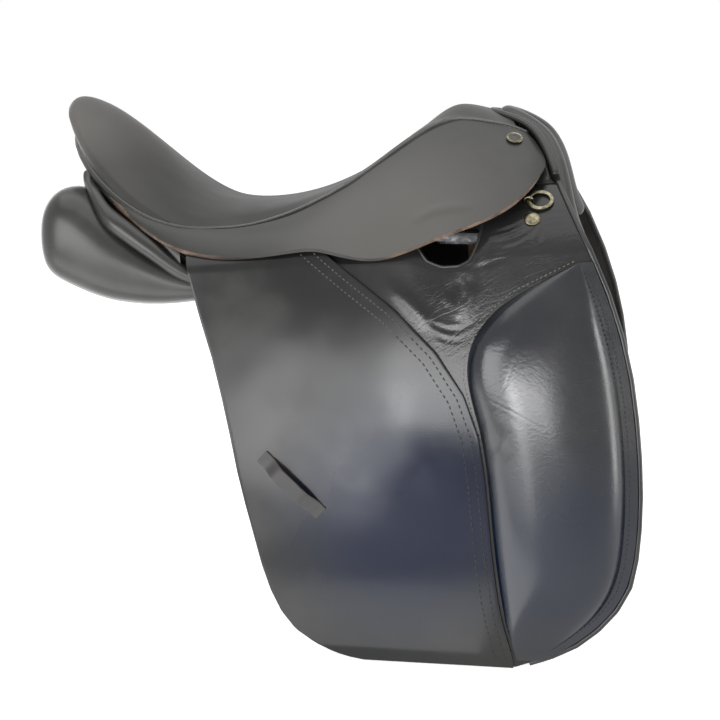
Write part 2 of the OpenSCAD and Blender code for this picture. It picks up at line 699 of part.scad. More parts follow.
// its upper end rises behind the skirt
welt_end = [-248, 75, 85];
function panel_side(k, turn, d) =
    let (g = curve(panel_guide, k), c = cos(turn), s = sin(turn))
    [g[0], g[1] + (g[3] + d) * sign(c) * pow(abs(c), 0.8),
     panel_mid(g) + (g[4] * panel_share + d) * sign(s) * pow(abs(s), 0.8)];
module panel_welt(side) {
    p = line(concat([welt_end], [for (i = [0 : 9])
            let (k = mix(2.9, 7.6, i / 9))
            panel_side(k, curve(welt_turn, k), panel_welt_r + 3 * layer_gap)]), 20);
    color(black) on_side(side) tube(p, panel_welt_r, [0, 1, 0], 8);
}

// Girth straps, their webs and the sweat flap under the flap
sweat_y = 130.5;
strap_y = sweat_y + sweat_t + 1.5;
strap_top = 12;
front_strap_x = 24;
rear_strap_x = -38;
sweat_outline = [
    [-86, 6], [-74, -60], [-58, -150], [-38, -222], [0, -256], [55, -270], [115, -268], [165, -254],
    [195, -222], [209, -170], [208, -100], [196, -40], [178, 0], [150, 14], [60, 10]
];
module sweat_flap(side) {
    p = line(concat(sweat_outline, [sweat_outline[0]]), 45);
    color(black)
        on_side(side)
            translate([0, sweat_y + sweat_t, 0])
                rotate([90, 0, 0])
                    linear_extrude(sweat_t)
                        polygon([for (i = [0 : 44]) p[i]]);
}

module strap(x, side) {
    color(black)
        on_side(side)
            translate([x, strap_y + strap_t, strap_top])
                rotate([90, 0, 0])
                    linear_extrude(strap_t)
                        difference() {
                            strap_shape();
                            for (i = [0 : hole_count - 1])
                                translate([0, -strap_l + 40 + i * hole_pitch]) circle(d = hole_d);
                        }
}
// the round upper end lets the strap swing about its stitching
module strap_shape() {
    point = strap_w * 0.35;
    translate([0, -strap_w / 2]) circle(d = strap_w);
    polygon([[-strap_w / 2, -strap_w / 2], [-strap_w / 2, point - strap_l], [-strap_w / 6, -strap_l],
             [strap_w / 6, -strap_l], [strap_w / 2, point - strap_l], [strap_w / 2, -strap_w / 2]]);
}

// each strap hangs from a web that lies over the tree rail
rail_course = [for (i = [len(rail_guide) - 1 : -1 : 5]) let (p = rail_guide[i]) [-p[0], [p[1], p[2]]]];
web_rise = 6.2;
module girth_web(side) {
    y = strap_y + strap_t / 2;
    color(canvas)
        on_side(side)
            for (x = [front_strap_x, rear_strap_x]) {
                rail = curve(rail_course, -x);
                top = rail[1] - seat_pack + web_t / 2 + web_rise;
                p = line([[x, y, strap_top + 2.5 * layer_gap], [x, y - 2, strap_top + 8],
                          [x, y - 14, mix(strap_top, top, 0.6)], [x, rail[0] + rail_w / 2, top],
                          [x, rail[0], top]], 8);
                loft(swept(p, flat_section(web_t, strap_w * 0.9), [1, 0, 0]));
            }
}

// Stirrup bar with a hinged safety catch at its open rear end
bar_y = 128.6;
bar_z = 37;
bar_front = 134;
plate_back = bar_y - bar_t - bar_slot;
bar_rear = bar_front - bar_l;
bar_end = 11;
bar_plate_t = 4.2;
bar_plate_h = 18;
fork_l = 9;
tongue_t = 2.4;
module stirrup_bar(side) {
    color(steel)
        on_side(side) {
            difference() {
                translate([bar_rear, bar_y - bar_t, bar_z - bar_h / 2]) cube([bar_l, bar_t, bar_h]);
                translate([bar_rear - 1, bar_y - bar_t / 2 - tongue_t / 2 - layer_gap, bar_z - bar_h])
                    cube([fork_l + 1, tongue_t + 2 * layer_gap, 2 * bar_h]);
            }
            translate([bar_front - bar_end, plate_back, bar_z - bar_h / 2])
                cube([bar_end, bar_slot + bar_t, bar_h]);
            translate([bar_rear + fork_l / 2, plate_back - bar_plate_t, bar_z - bar_plate_h / 2])
                cube([bar_l - fork_l / 2, bar_plate_t, bar_plate_h]);
            at_catch() cylinder(r = pin_r, h = bar_t, center = true);
        }
}
module at_catch() {
    translate([bar_rear + fork_l / 2, bar_y - bar_t / 2, bar_z]) rotate([90, 0, 0]) children();
}
module bar_catch(side) {
    color(steel)
        on_side(side)
            at_catch()
                difference() {
                    union() {
                        cylinder(r = bar_h / 2 - 0.2, h = tongue_t, center = true);
                        translate([-catch_l, -bar_h / 2 + 1, -tongue_t / 2])
                            cube([catch_l, bar_h - 2, tongue_t]);
                    }
                    cylinder(r = pin_r + pin_gap, h = bar_t, center = true);
                }
}

tree_rails();
tree_head();
head_plate();
gullet_plate();
tree_springs();
tree_rivets();
seat_webs();
seat_foam();
seat_cover();
seat_welt();
pommel_welt();
panel_roll();
skirt("left");  // skirt_left
skirt("right");  // skirt_right
rear_facing();
skirt_buttons();
head_cover("left");  // head_cover_left
head_cover("right");  // head_cover_right
yoke("left");  // yoke_left
yoke("right");  // yoke_right
yoke_binding("left");  // yoke_binding_left
yoke_binding("right");  // yoke_binding_right
panel("left");  // panel_left
panel("right");  // panel_right
panel_flock("left");  // panel_flock_left
panel_flock("right");  // panel_flock_right
panel_welt("left");  // panel_welt_left
panel_welt("right");  // panel_welt_right
sweat_flap("left");  // sweat_flap_left
sweat_flap("right");  // sweat_flap_right
girth_web("left");  // girth_web_left
girth_web("right");  // girth_web_right
stirrup_bar("left");  // stirrup_bar_left
stirrup_bar("right");  // stirrup_bar_right
bar_catch("left");  // bar_catch_left
bar_catch("right");  // bar_catch_right
dee_staple("left");  // dee_staple_left
dee_staple("right");  // dee_staple_right
dee_ring("left");  // dee_ring_left
dee_ring("right");  // dee_ring_right
flap_nails();
flap("left");  // flap_left
flap("right");  // flap_right
flap_firm("left");  // flap_firm_left
flap_firm("right");  // flap_firm_right
knee_block("left");  // knee_block_left
knee_block("right");  // knee_block_right
knee_cover("left");  // knee_cover_left
knee_cover("right");  // knee_cover_right
flap_binding("left");  // flap_binding_left
flap_binding("right");  // flap_binding_right
keeper("left");  // keeper_left
keeper("right");  // keeper_right
strap(front_strap_x, "left");  // front_strap_left
strap(front_strap_x, "right");  // front_strap_right
strap(rear_strap_x, "left");  // rear_strap_left
strap(rear_strap_x, "right");  // rear_strap_right
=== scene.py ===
# %% [markdown]
# A black dressage saddle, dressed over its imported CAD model.
# The CAD solids are the frame: every leather, thread and fitting below takes its place from them,
# so the picture and the moving model never drift apart.

# %% Load the frame
import json
from collections import namedtuple
from functools import lru_cache
from math import radians, pi, sin, cos, exp

import bpy
import bmesh
from mathutils import Vector, Matrix, Quaternion, noise
from mathutils.bvhtree import BVHTree
from mathutils.kdtree import KDTree


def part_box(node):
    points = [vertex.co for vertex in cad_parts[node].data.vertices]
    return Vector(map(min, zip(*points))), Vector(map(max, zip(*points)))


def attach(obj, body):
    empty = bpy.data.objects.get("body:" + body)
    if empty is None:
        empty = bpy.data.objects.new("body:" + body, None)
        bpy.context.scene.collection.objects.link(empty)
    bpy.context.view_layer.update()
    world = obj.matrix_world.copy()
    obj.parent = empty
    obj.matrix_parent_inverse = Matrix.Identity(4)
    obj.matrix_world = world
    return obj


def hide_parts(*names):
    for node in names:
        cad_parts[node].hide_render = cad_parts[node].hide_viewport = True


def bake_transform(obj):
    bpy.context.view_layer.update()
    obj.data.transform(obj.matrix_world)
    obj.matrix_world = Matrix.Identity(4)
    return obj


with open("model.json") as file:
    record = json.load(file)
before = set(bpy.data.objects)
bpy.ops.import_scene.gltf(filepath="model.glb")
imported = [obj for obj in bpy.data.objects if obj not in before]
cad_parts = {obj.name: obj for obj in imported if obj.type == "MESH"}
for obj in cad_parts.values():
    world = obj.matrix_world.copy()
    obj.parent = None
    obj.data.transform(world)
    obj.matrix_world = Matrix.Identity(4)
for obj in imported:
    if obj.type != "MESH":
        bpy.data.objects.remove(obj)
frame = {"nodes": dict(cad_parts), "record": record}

scene = bpy.context.scene
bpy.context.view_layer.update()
SIDES = {"left": 1, "right": -1}
MM = 0.001

# %% [markdown]
# The camera comes first, because everything is compared with the photograph through it.
# It stands a little in front of the off side and looks slightly down. Its lens and distance were
# fitted to the outlines, so the saddle fills the frame as it does in the photograph.

# %% Camera
CAMERA_TURN = radians(8)
CAMERA_RISE = radians(11.5)
CAMERA_REACH = 1.5
CAMERA_AIM = Vector((0, 0, -0.1))
CAMERA_LENS = 77.25
SENSOR_WIDE = 36
level = cos(CAMERA_RISE)
away = Vector((sin(CAMERA_TURN) * level, -cos(CAMERA_TURN) * level, sin(CAMERA_RISE)))
camera_data = bpy.data.cameras.new("photo_camera")
camera_data.sensor_width = SENSOR_WIDE
camera_data.lens = CAMERA_LENS
camera = bpy.data.objects.new("photo_camera", camera_data)
camera.location = CAMERA_AIM + CAMERA_REACH * away
camera.rotation_euler = away.to_track_quat("Z", "Y").to_euler()
scene.collection.objects.link(camera)
scene.camera = camera
print("camera at", tuple(round(v, 3) for v in camera.location))

# %% [markdown]
# Black saddle leather is not one black. It has a fine pore grain, a slow cloudiness where hands and
# legs have polished it, small scuffs, and creases where it bends. These could be painted as pictures,
# but node groups stay sharp from close by, and the seat, flap, pad and panel leathers can all use them
# in different amounts. A few helpers keep the node trees short.

# %% Helpers for shader trees
def add_node(tree, kind, **values):
    made = tree.nodes.new(kind)
    for key, value in values.items():
        setattr(made, key, value)
    return made


def set_inputs(made, **values):
    for key, value in values.items():
        made.inputs[key.replace("_", " ")].default_value = value
    return made


def feed(tree, socket, value):
    """Sets a plain value on a socket, or links another node's output to it."""
    if isinstance(value, (int, float, tuple)):
        socket.default_value = value
    else:
        tree.links.new(value, socket)


def math_node(tree, operation, *values):
    made = add_node(tree, "ShaderNodeMath", operation=operation)
    for socket, value in zip(made.inputs, values):
        feed(tree, socket, value)
    return made.outputs[0]


def vector_node(tree, operation, *values):
    made = add_node(tree, "ShaderNodeVectorMath", operation=operation)
    for socket, value in zip(made.inputs, values):
        feed(tree, socket, value)
    return made.outputs["Value" if operation == "LENGTH" else "Vector"]


def band(tree, value, low, high):
    """A soft step from 0 at low to 1 at high."""
    made = add_node(tree, "ShaderNodeMapRange", interpolation_type="SMOOTHSTEP")
    tree.links.new(value, made.inputs["Value"])
    return set_inputs(made, From_Min=low, From_Max=high).outputs["Result"]


def noise_value(tree, vector, scale, detail=3.0, rough=0.55, distortion=0.0):
    made = add_node(tree, "ShaderNodeTexNoise")
    tree.links.new(vector, made.inputs["Vector"])
    set_inputs(made, Detail=detail, Roughness=rough, Distortion=distortion)
    feed(tree, made.inputs["Scale"], scale)
    return made.outputs["Fac"]


def new_group(name, inputs, outputs):
    """A shader group with its named sockets: the tree, what it is given and what it puts out."""
    tree = bpy.data.node_groups.new(name, "ShaderNodeTree")
    for label, kind, value in inputs:
        socket = tree.interface.new_socket(label, in_out="INPUT", socket_type="NodeSocket" + kind)
        if value is not None:
            socket.default_value = value
    for label in outputs:
        tree.interface.new_socket(label, in_out="OUTPUT", socket_type="NodeSocketFloat")
    return tree, add_node(tree, "NodeGroupInput").outputs, add_node(tree, "NodeGroupOutput").inputs


print("shader helpers ready")

# %% [markdown]
# Pores are small cells side by side, with a finer unevenness on top. A smooth Voronoi pattern gives
# the cells and a noise gives the rest. One scale drives both, so a leather sets its grain by one value.

# %% Pore grain
NOISE_SHARE = 0.45


def pore_grain():
    tree, given, wanted = new_group(
        "pore_grain", [("Vector", "Vector", None), ("Scale", "Float", 900.0)], ["Height"])
    cells = add_node(tree, "ShaderNodeTexVoronoi", feature="SMOOTH_F1")
    tree.links.new(given["Vector"], cells.inputs["Vector"])
    tree.links.new(given["Scale"], cells.inputs["Scale"])
    noise_scale = math_node(tree, "MULTIPLY", given["Scale"], NOISE_SHARE)
    fine = noise_value(tree, given["Vector"], noise_scale, detail=5.0)
    tree.links.new(math_node(tree, "ADD", cells.outputs["Distance"], fine), wanted["Height"])
    return tree


grain = pore_grain()
print("node group", grain.name)

# %% [markdown]
# Wear has two parts. Slow clouds show where the leather has been handled and polished. Short streaked
# scuffs lie inside those clouds only, because leather that is rubbed is also scratched. The streaks are
# a noise that is squeezed along one direction and turned a little from the vertical.

# %% Hand wear
RUB_TURN = (0, radians(24), 0)
RUB_SQUEEZE = (1, 1, 5)
RUB_SCALE = 95.0
CLOUD_BAND = (0.36, 0.66)
SCUFFED_CLOUD = (0.45, 0.6)
STREAK_BAND = (0.6, 0.74)


def hand_wear():
    tree, given, wanted = new_group(
        "hand_wear", [("Vector", "Vector", None), ("Cloud Scale", "Float", 9.0)], ["Cloud", "Scuff"])
    cloud = noise_value(tree, given["Vector"], given["Cloud Scale"], detail=4.0, rough=0.6)
    tree.links.new(band(tree, cloud, *CLOUD_BAND), wanted["Cloud"])
    rub = set_inputs(add_node(tree, "ShaderNodeMapping"), Rotation=RUB_TURN, Scale=RUB_SQUEEZE)
    tree.links.new(given["Vector"], rub.inputs["Vector"])
    streak = noise_value(tree, rub.outputs["Vector"], RUB_SCALE, detail=6.0, rough=0.7, distortion=0.6)
    scuff = math_node(tree, "MULTIPLY", band(tree, streak, *STREAK_BAND), band(tree, cloud, *SCUFFED_CLOUD))
    tree.links.new(scuff, wanted["Scuff"])
    return tree


wear = hand_wear()
print("node group", wear.name)

# %% [markdown]
# Creases lie in thin valleys round one place on the leather. A valley is where a stretched noise passes
# its middle value, which gives long lines that branch. The distance from the centre line is read
# without its sign, so the left and right sides share one field. The field alone is also a soft round
# mask, which the leathers use for patches of painted reflection, highlight, shade and sheen, and for a
# darker middle on a cut edge.

# %% Bend creases
VALLEY_STRETCH = (0.22, 0.22, 1.0)
VALLEY_HALF = 0.07
FIELD_FADE = (0.25, 1.0)


def bend_creases():
    tree, given, wanted = new_group(
        "bend_creases",
        [("Vector", "Vector", None), ("Place", "Vector", (0, 0, 0)), ("Reach", "Float", 0.06),
         ("Turn", "Float", 0.0), ("Fineness", "Float", 120.0)],
        ["Valley", "Field"])
    split = add_node(tree, "ShaderNodeSeparateXYZ")
    tree.links.new(given["Vector"], split.inputs[0])
    joined = add_node(tree, "ShaderNodeCombineXYZ")
    tree.links.new(split.outputs["X"], joined.inputs["X"])
    tree.links.new(math_node(tree, "ABSOLUTE", split.outputs["Y"]), joined.inputs["Y"])
    tree.links.new(split.outputs["Z"], joined.inputs["Z"])
    local = vector_node(tree, "SUBTRACT", joined.outputs[0], given["Place"])
    distance = vector_node(tree, "LENGTH", local)
    share = math_node(tree, "DIVIDE", distance, given["Reach"])
    field = math_node(tree, "SUBTRACT", 1.0, band(tree, share, *FIELD_FADE))
    turned = add_node(tree, "ShaderNodeVectorRotate", rotation_type="Y_AXIS")
    tree.links.new(local, turned.inputs["Vector"])
    tree.links.new(given["Turn"], turned.inputs["Angle"])
    stretched = vector_node(tree, "MULTIPLY", turned.outputs["Vector"], VALLEY_STRETCH)
    ridge = noise_value(tree, stretched, given["Fineness"], detail=3.0, rough=0.6, distortion=0.4)
    off_middle = math_node(tree, "ABSOLUTE", math_node(tree, "SUBTRACT", ridge, 0.5))
    valley = math_node(tree, "SUBTRACT", 1.0, band(tree, off_middle, 0.0, VALLEY_HALF))
    tree.links.new(math_node(tree, "MULTIPLY", valley, field), wanted["Valley"])
    tree.links.new(field, wanted["Field"])
    return tree


crease = bend_creases()
print("node group", crease.name)

# %% [markdown]
# One recipe makes every leather: a dark and a paler black mixed by the clouds, scuffs on top, a
# roughness that follows the same clouds, then patches, and a bump from pores and creases. Only the
# amounts differ, so the leathers look like one saddle and not like a set of samples.

# %% Leather recipe
LEATHER_SHINE = 0.38
SCUFF_PALER = 2.6
CLOUD_ROUGHER = 0.1
SCUFF_ROUGHER = 0.15
PORE_DEEP = 0.6 * MM
CREASE_DEEP = 1.2 * MM
Patch = namedtuple("Patch", "where reach colour gloss")
Creases = namedtuple("Creases", "where reach turn fineness depth")


def new_material(name):
    made = bpy.data.materials.new(name)
    made.use_nodes = True
    tree = made.node_tree
    place = add_node(tree, "ShaderNodeTexCoord").outputs["Object"]
    return made, tree, tree.nodes["Principled BSDF"], place


def group_node(tree, group, vector, **values):
    made = add_node(tree, "ShaderNodeGroup", node_tree=group)
    tree.links.new(vector, made.inputs["Vector"])
    return set_inputs(made, **values).outputs


def mixed(tree, share, a, b):
    made = add_node(tree, "ShaderNodeMix", data_type="RGBA")
    tree.links.new(share, made.inputs["Factor"])
    for socket, colour in ((made.inputs[6], a), (made.inputs[7], b)):
        feed(tree, socket, (*colour, 1) if isinstance(colour, tuple) else colour)
    return made.outputs[2]


def bump(tree, height, distance, strength, below=None):
    made = set_inputs(add_node(tree, "ShaderNodeBump"), Strength=strength, Distance=distance)
    tree.links.new(height, made.inputs["Height"])
    if below:
        tree.links.new(below, made.inputs["Normal"])
    return made.outputs["Normal"]


def leather(name, dark, pale, rough, scuffed, grain_scale, grain_depth, creases=(), cloud_scale=9.0,
            shine_level=LEATHER_SHINE, patches=()):
    made, tree, shader, place = new_material(name)
    worn = group_node(tree, wear, place, Cloud_Scale=cloud_scale)
    colour = mixed(tree, worn["Cloud"], dark, pale)
    rubbed = tuple(min(1.0, SCUFF_PALER * c) for c in pale)
    colour = mixed(tree, math_node(tree, "MULTIPLY", worn["Scuff"], scuffed), colour, rubbed)
    dull = math_node(tree, "MULTIPLY_ADD", worn["Cloud"], CLOUD_ROUGHER, rough - CLOUD_ROUGHER / 2)
    dull = math_node(tree, "ADD", dull, math_node(tree, "MULTIPLY", worn["Scuff"], SCUFF_ROUGHER * scuffed))
    # each patch paints its colour in a soft round field: painted reflection, highlight, shade or sheen, or
    # a darker middle on a cut edge
    for patch in patches:
        field = group_node(tree, crease, place, Place=patch.where, Reach=patch.reach)["Field"]
        colour = mixed(tree, field, colour, patch.colour)
        dull = math_node(tree, "SUBTRACT", dull, math_node(tree, "MULTIPLY", field, patch.gloss))
    pores = group_node(tree, grain, place, Scale=grain_scale)["Height"]
    normal = bump(tree, pores, PORE_DEEP, grain_depth)
    for fold in creases:
        lines = group_node(tree, crease, place, Place=fold.where, Reach=fold.reach, Turn=fold.turn,
                           Fineness=fold.fineness)
        raised = math_node(tree, "SUBTRACT", 1.0, lines["Valley"])
        normal = bump(tree, raised, CREASE_DEEP, fold.depth, normal)
    tree.links.new(colour, shader.inputs["Base Color"])
    tree.links.new(dull, shader.inputs["Roughness"])
    tree.links.new(normal, shader.inputs["Normal"])
    shader.inputs["Specular IOR Level"].default_value = shine_level
    return made


print("leather recipe ready")

# %% [markdown]
# Now the leathers themselves. The flap and knee pad are the most polished, and a dark blue reflection is
# painted into their colour low down. The seat is duller, with a painted highlight on the cantle and painted
# shade in its dip, and a painted sheen lightens the skirt at the front. Cut edges show tan where the dye
# has worn off, and are coloured darker round the middle of the skirt's lower edge.

# %% Leathers of the saddle
# in order: name, dark and pale colour, roughness, scuffs, pores to the metre, pore depth
PAD_CREASES = [Creases((0.185, 0.18, -0.045), 0.075, radians(-35), 230.0, depth=0.05),
               Creases((0.16, 0.17, -0.085), 0.06, radians(40), 260.0, depth=0.05)]
FOLD_CREASES = [Creases((0.165, 0.14, 0.03), 0.07, radians(25), 110.0, depth=0.1),
                Creases((0.105, 0.15, -0.02), 0.06, radians(35), 120.0, depth=0.08)]
# painted reflection: a dark blue tint low on the flap, for something dark and blue mirrored there
FLAP_BLUE_REFLECTION = Patch((0.065, 0.17, -0.195), 0.15, (0.0005, 0.0035, 0.0155), gloss=0.05)
# painted reflection: the same dark blue tint low on the knee pad
PAD_BLUE_REFLECTION = Patch((0.2, 0.19, -0.225), 0.12, (0.001, 0.004, 0.013), gloss=0.0)
# the tan cut edge is coloured darker round the middle of the skirt's lower edge
DARKER_EDGE_MIDDLE = Patch((-0.035, 0.15, 0.025), 0.14, (0.014, 0.0125, 0.011), gloss=0.1)
# painted highlight: a paler colour on the top of the cantle
CANTLE_HIGHLIGHT = Patch((-0.262, 0.03, 0.142), 0.095, (0.082, 0.076, 0.071), gloss=0.0)
# painted shade: a darker band across the seat's dip
DIP_SHADE = Patch((-0.09, 0.085, 0.06), 0.14, (0.010, 0.010, 0.009), gloss=-0.06)
# painted sheen: a paler colour on the skirt's front, over a darker skirt leather
SKIRT_SHEEN = Patch((0.055, 0.15, 0.042), 0.13, (0.06, 0.058, 0.053), gloss=0.04)
seat_black = leather("seat_leather", (0.026, 0.0255, 0.0235), (0.042, 0.041, 0.0375), 0.46, 0.2, 1300.0,
                     0.03, shine_level=0.3, patches=[CANTLE_HIGHLIGHT, DIP_SHADE])
skirt_black = leather("skirt_leather", (0.015, 0.0148, 0.0135), (0.032, 0.0315, 0.029), 0.42, 0.3, 1200.0,
                      0.03, patches=[SKIRT_SHEEN])
welt_black = leather("welt_leather", (0.024, 0.0235, 0.0225), (0.04, 0.039, 0.037), 0.2, 0.2, 1300.0, 0.03,
                     shine_level=0.95)
firm_black = leather("firm_flap_leather", (0.0085, 0.0085, 0.0085), (0.017, 0.0165, 0.0155), 0.22, 0.2,
                     1000.0, 0.025, shine_level=0.29, patches=[FLAP_BLUE_REFLECTION])
soft_black = leather("soft_flap_leather", (0.008, 0.008, 0.0082), (0.015, 0.015, 0.0148), 0.22, 0.3, 600.0,
                     0.08, creases=FOLD_CREASES, shine_level=0.3)
knee_black = leather("knee_pad_leather", (0.006, 0.0075, 0.0105), (0.014, 0.0145, 0.016), 0.23, 0.3, 600.0,
                     0.08, creases=PAD_CREASES, shine_level=0.48, patches=[PAD_BLUE_REFLECTION])
panel_black = leather("panel_leather", (0.017, 0.017, 0.016), (0.032, 0.032, 0.030), 0.32, 0.2, 1000.0,
                      0.04)
piping_black = leather("piping_leather", (0.012, 0.012, 0.0115), (0.024, 0.024, 0.023), 0.32, 0.3, 1200.0,
                       0.04)
strap_black = leather("strap_leather", (0.010, 0.010, 0.010), (0.022, 0.021, 0.021), 0.44, 0.3, 900.0, 0.06)
sweat_black = leather("sweat_flap_leather", (0.012, 0.012, 0.012), (0.026, 0.025, 0.024), 0.58, 0.4, 800.0,
                      0.08, shine_level=0.25)
raw_edge = leather("raw_leather_edge", (0.05, 0.033, 0.025), (0.19, 0.125, 0.09), 0.6, 0.5, 1600.0, 0.2,
                   cloud_scale=45.0, patches=[DARKER_EDGE_MIDDLE])
flesh_side = leather("leather_flesh_side", (0.020, 0.019, 0.018), (0.040, 0.038, 0.035), 0.85, 0.3, 1500.0,
                     0.2, shine_level=0.1)
dark_edge = leather("inked_leather_edge", (0.012, 0.011, 0.011), (0.05, 0.036, 0.028), 0.5, 0.4, 1600.0,
                    0.12, cloud_scale=60.0)
print("leathers", [m.name for m in bpy.data.materials if "leather" in m.name])

# %% [markdown]
# Metal, thread and the hidden stuffing get their own small recipes: brass that has dulled unevenly,
# worn nickel steel coloured very dark as painted shade, waxed thread, dark closed foam, wool, webbing
# coloured dark as painted shade, and the varnished beech of the tree.
# The metals share the wear group with the leathers, at a finer scale.

# %% Metals, thread and stuffing
TARNISH_SCALE = 220.0
TARNISH_ROUGHER = 0.16
SCRATCH_SCALE = 1800.0
SCRATCH_DEEP = 0.2 * MM
SCRATCH_STRENGTH = 0.08
FIBRE_DEEP = 1 * MM
FIBRE_BAND = (0.3, 0.7)
TWIST_SCALE = 2600.0
TWIST_STRENGTH = 0.5


def metal(name, colour, tarnish, rough):
    made, tree, shader, place = new_material(name)
    worn = group_node(tree, wear, place, Cloud_Scale=TARNISH_SCALE)
    tree.links.new(mixed(tree, worn["Cloud"], colour, tarnish), shader.inputs["Base Color"])
    dull = math_node(tree, "MULTIPLY_ADD", worn["Cloud"], TARNISH_ROUGHER, rough)
    tree.links.new(dull, shader.inputs["Roughness"])
    scratch = group_node(tree, grain, place, Scale=SCRATCH_SCALE)["Height"]
    tree.links.new(bump(tree, scratch, SCRATCH_DEEP, SCRATCH_STRENGTH), shader.inputs["Normal"])
    shader.inputs["Metallic"].default_value = 1.0
    return made


def stuffing(name, dark, pale, scale, depth, rough=0.9, stretch=(1, 1, 1)):
    made, tree, shader, place = new_material(name)
    drawn = set_inputs(add_node(tree, "ShaderNodeMapping"), Scale=stretch)
    tree.links.new(place, drawn.inputs["Vector"])
    fibre = noise_value(tree, drawn.outputs["Vector"], scale, detail=6.0, rough=0.65, distortion=0.3)
    tree.links.new(mixed(tree, band(tree, fibre, *FIBRE_BAND), dark, pale), shader.inputs["Base Color"])
    tree.links.new(bump(tree, fibre, FIBRE_DEEP, depth), shader.inputs["Normal"])
    shader.inputs["Roughness"].default_value = rough
    return made


def thread(name, dark, pale, rough=0.7):
    return stuffing(name, dark, pale, TWIST_SCALE, TWIST_STRENGTH, rough)


brass = metal("dulled_brass", (0.24, 0.215, 0.145), (0.11, 0.098, 0.065), 0.3)
# painted shade: the nickel is coloured very dark, for the shade the bars sit in under the skirts
nickel = metal("shade_dark_nickel", (0.04, 0.041, 0.043), (0.026, 0.026, 0.027), 0.26)
plain_steel = metal("tree_steel", (0.42, 0.43, 0.45), (0.22, 0.22, 0.23), 0.38)
pale_thread = thread("pale_thread", (0.075, 0.07, 0.05), (0.17, 0.155, 0.115))
grey_thread = thread("grey_thread", (0.045, 0.045, 0.044), (0.10, 0.10, 0.096))
tan_thread = thread("tan_thread", (0.10, 0.07, 0.05), (0.24, 0.17, 0.12))
dark_thread = thread("dark_thread", (0.006, 0.006, 0.006), (0.022, 0.021, 0.020), 0.8)
foam_grey = stuffing("closed_cell_foam", (0.03, 0.03, 0.031), (0.06, 0.06, 0.06), 420.0, 0.4)
wool_cream = stuffing("flock_wool", (0.60, 0.57, 0.48), (0.85, 0.82, 0.74), 160.0, 0.8)
# painted shade: the webbing is coloured dark where it shows through gaps at the seat seam
web_canvas = stuffing("web_canvas", (0.035, 0.033, 0.029), (0.085, 0.08, 0.07), 900.0, 0.5, 0.85,
                      stretch=(1, 1, 3))
beech = stuffing("varnished_beech", (0.045, 0.026, 0.014), (0.10, 0.062, 0.034), 60.0, 0.12, 0.4,
                 stretch=(0.3, 4, 4))
badge_dark = leather("button_enamel", (0.012, 0.012, 0.013), (0.035, 0.033, 0.032), 0.3, 0.3, 1500.0, 0.05,
                     cloud_scale=180.0)
print("materials", len(bpy.data.materials))

# %% [markdown]
# Most leathers start as a copy of their CAD solid. The copy is loose triangles, so it is welded and its
# triangles are joined to quads. A leather has two large sides and a narrow cut edge between them, so
# faces are gathered into plots that no sharp edge crosses: the two largest plots are the sides, and all
# the others are the cut edge.

# %% Read a CAD solid and find its cut edge
SHARP = radians(40)
WELD = 0.01 * MM
NEARLY_FLAT = radians(50)
NEARLY_SQUARE = radians(70)


def welded(node):
    bm = bmesh.new()
    bm.from_mesh(frame["nodes"][node].data)
    bmesh.ops.remove_doubles(bm, verts=bm.verts, dist=WELD)
    return bm


def quads(bm):
    bmesh.ops.join_triangles(bm, faces=bm.faces[:], angle_face_threshold=NEARLY_FLAT,
                             angle_shape_threshold=NEARLY_SQUARE)
    return bm


def sharp_edges(bm, angle):
    return [e for e in bm.edges if e.is_manifold and e.calc_face_angle(0) > angle]


def plots(bm, angle):
    """The faces in groups that no sharp edge crosses, largest first."""
    fence = set(sharp_edges(bm, angle))
    seen = set()
    found = []
    for first in bm.faces:
        if first in seen:
            continue
        seen.add(first)
        plot = [first]
        for face in plot:
            for edge in face.edges:
                for other in (edge.link_faces if edge not in fence else ()):
                    if other not in seen:
                        seen.add(other)
                        plot.append(other)
        found.append(plot)
    return sorted(found, key=lambda plot: -sum(f.calc_area() for f in plot))


def cut_edge(bm):
    return [face for plot in plots(bm, SHARP)[2:] for face in plot]


print("solids to dress", len(frame["nodes"]))

# %% [markdown]
# Then the cut edges are rounded, and a subdivision surface turns the coarse grid into one smooth skin.
# A cut edge can carry another material, because raw leather shows brown where it was cut. Each piece is
# attached to the body it moves with, and the CAD solids it stands for are hidden.

# %% Make a leather from a solid
def rounded(bm, radius, angle=SHARP, segments=2):
    bmesh.ops.bevel(bm, geom=sharp_edges(bm, angle), offset=radius, offset_type="OFFSET", affect="EDGES",
                    segments=segments, profile=0.5, material=-1, clamp_overlap=True)
    return bm


def swollen(bm, amount):
    """Moves every point out along its normal, or in where the amount is negative."""
    bm.normal_update()
    for vert in bm.verts:
        vert.co += vert.normal * amount
    return bm


def finished(bm, name, body, *materials, slot, levels=0, nodes=()):
    """A piece of the scene; one without a body is left unattached."""
    mesh = bpy.data.meshes.new(name)
    bm.to_mesh(mesh)
    bm.free()
    if "custom_normal" in mesh.attributes:
        mesh.attributes.remove(mesh.attributes["custom_normal"])
    mesh.shade_smooth()
    for material in materials:
        mesh.materials.append(material)
    piece = bpy.data.objects.new(name, mesh)
    scene.collection.objects.link(piece)
    if levels:
        smooth = piece.modifiers.new("smooth", "SUBSURF")
        smooth.levels = smooth.render_levels = levels
    if body:
        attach(piece, body)
    if nodes:
        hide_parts(*nodes)
    return piece


def body_of(node):
    return next(b for b, members in frame["record"]["behaviour"]["bodies"].items() if node in members)


def leather_from(node, name, material, edge=None, radius=0.6 * MM, levels=2, slot="leather", shaped=None):
    bm = quads(welded(node))
    if shaped:
        shaped(bm)
    if edge:
        for face in cut_edge(bm):
            face.material_index = 1
    if radius:
        rounded(bm, radius)
    return finished(bm, name, body_of(node), material, edge or material, slot=slot, levels=levels,
                    nodes=[node])


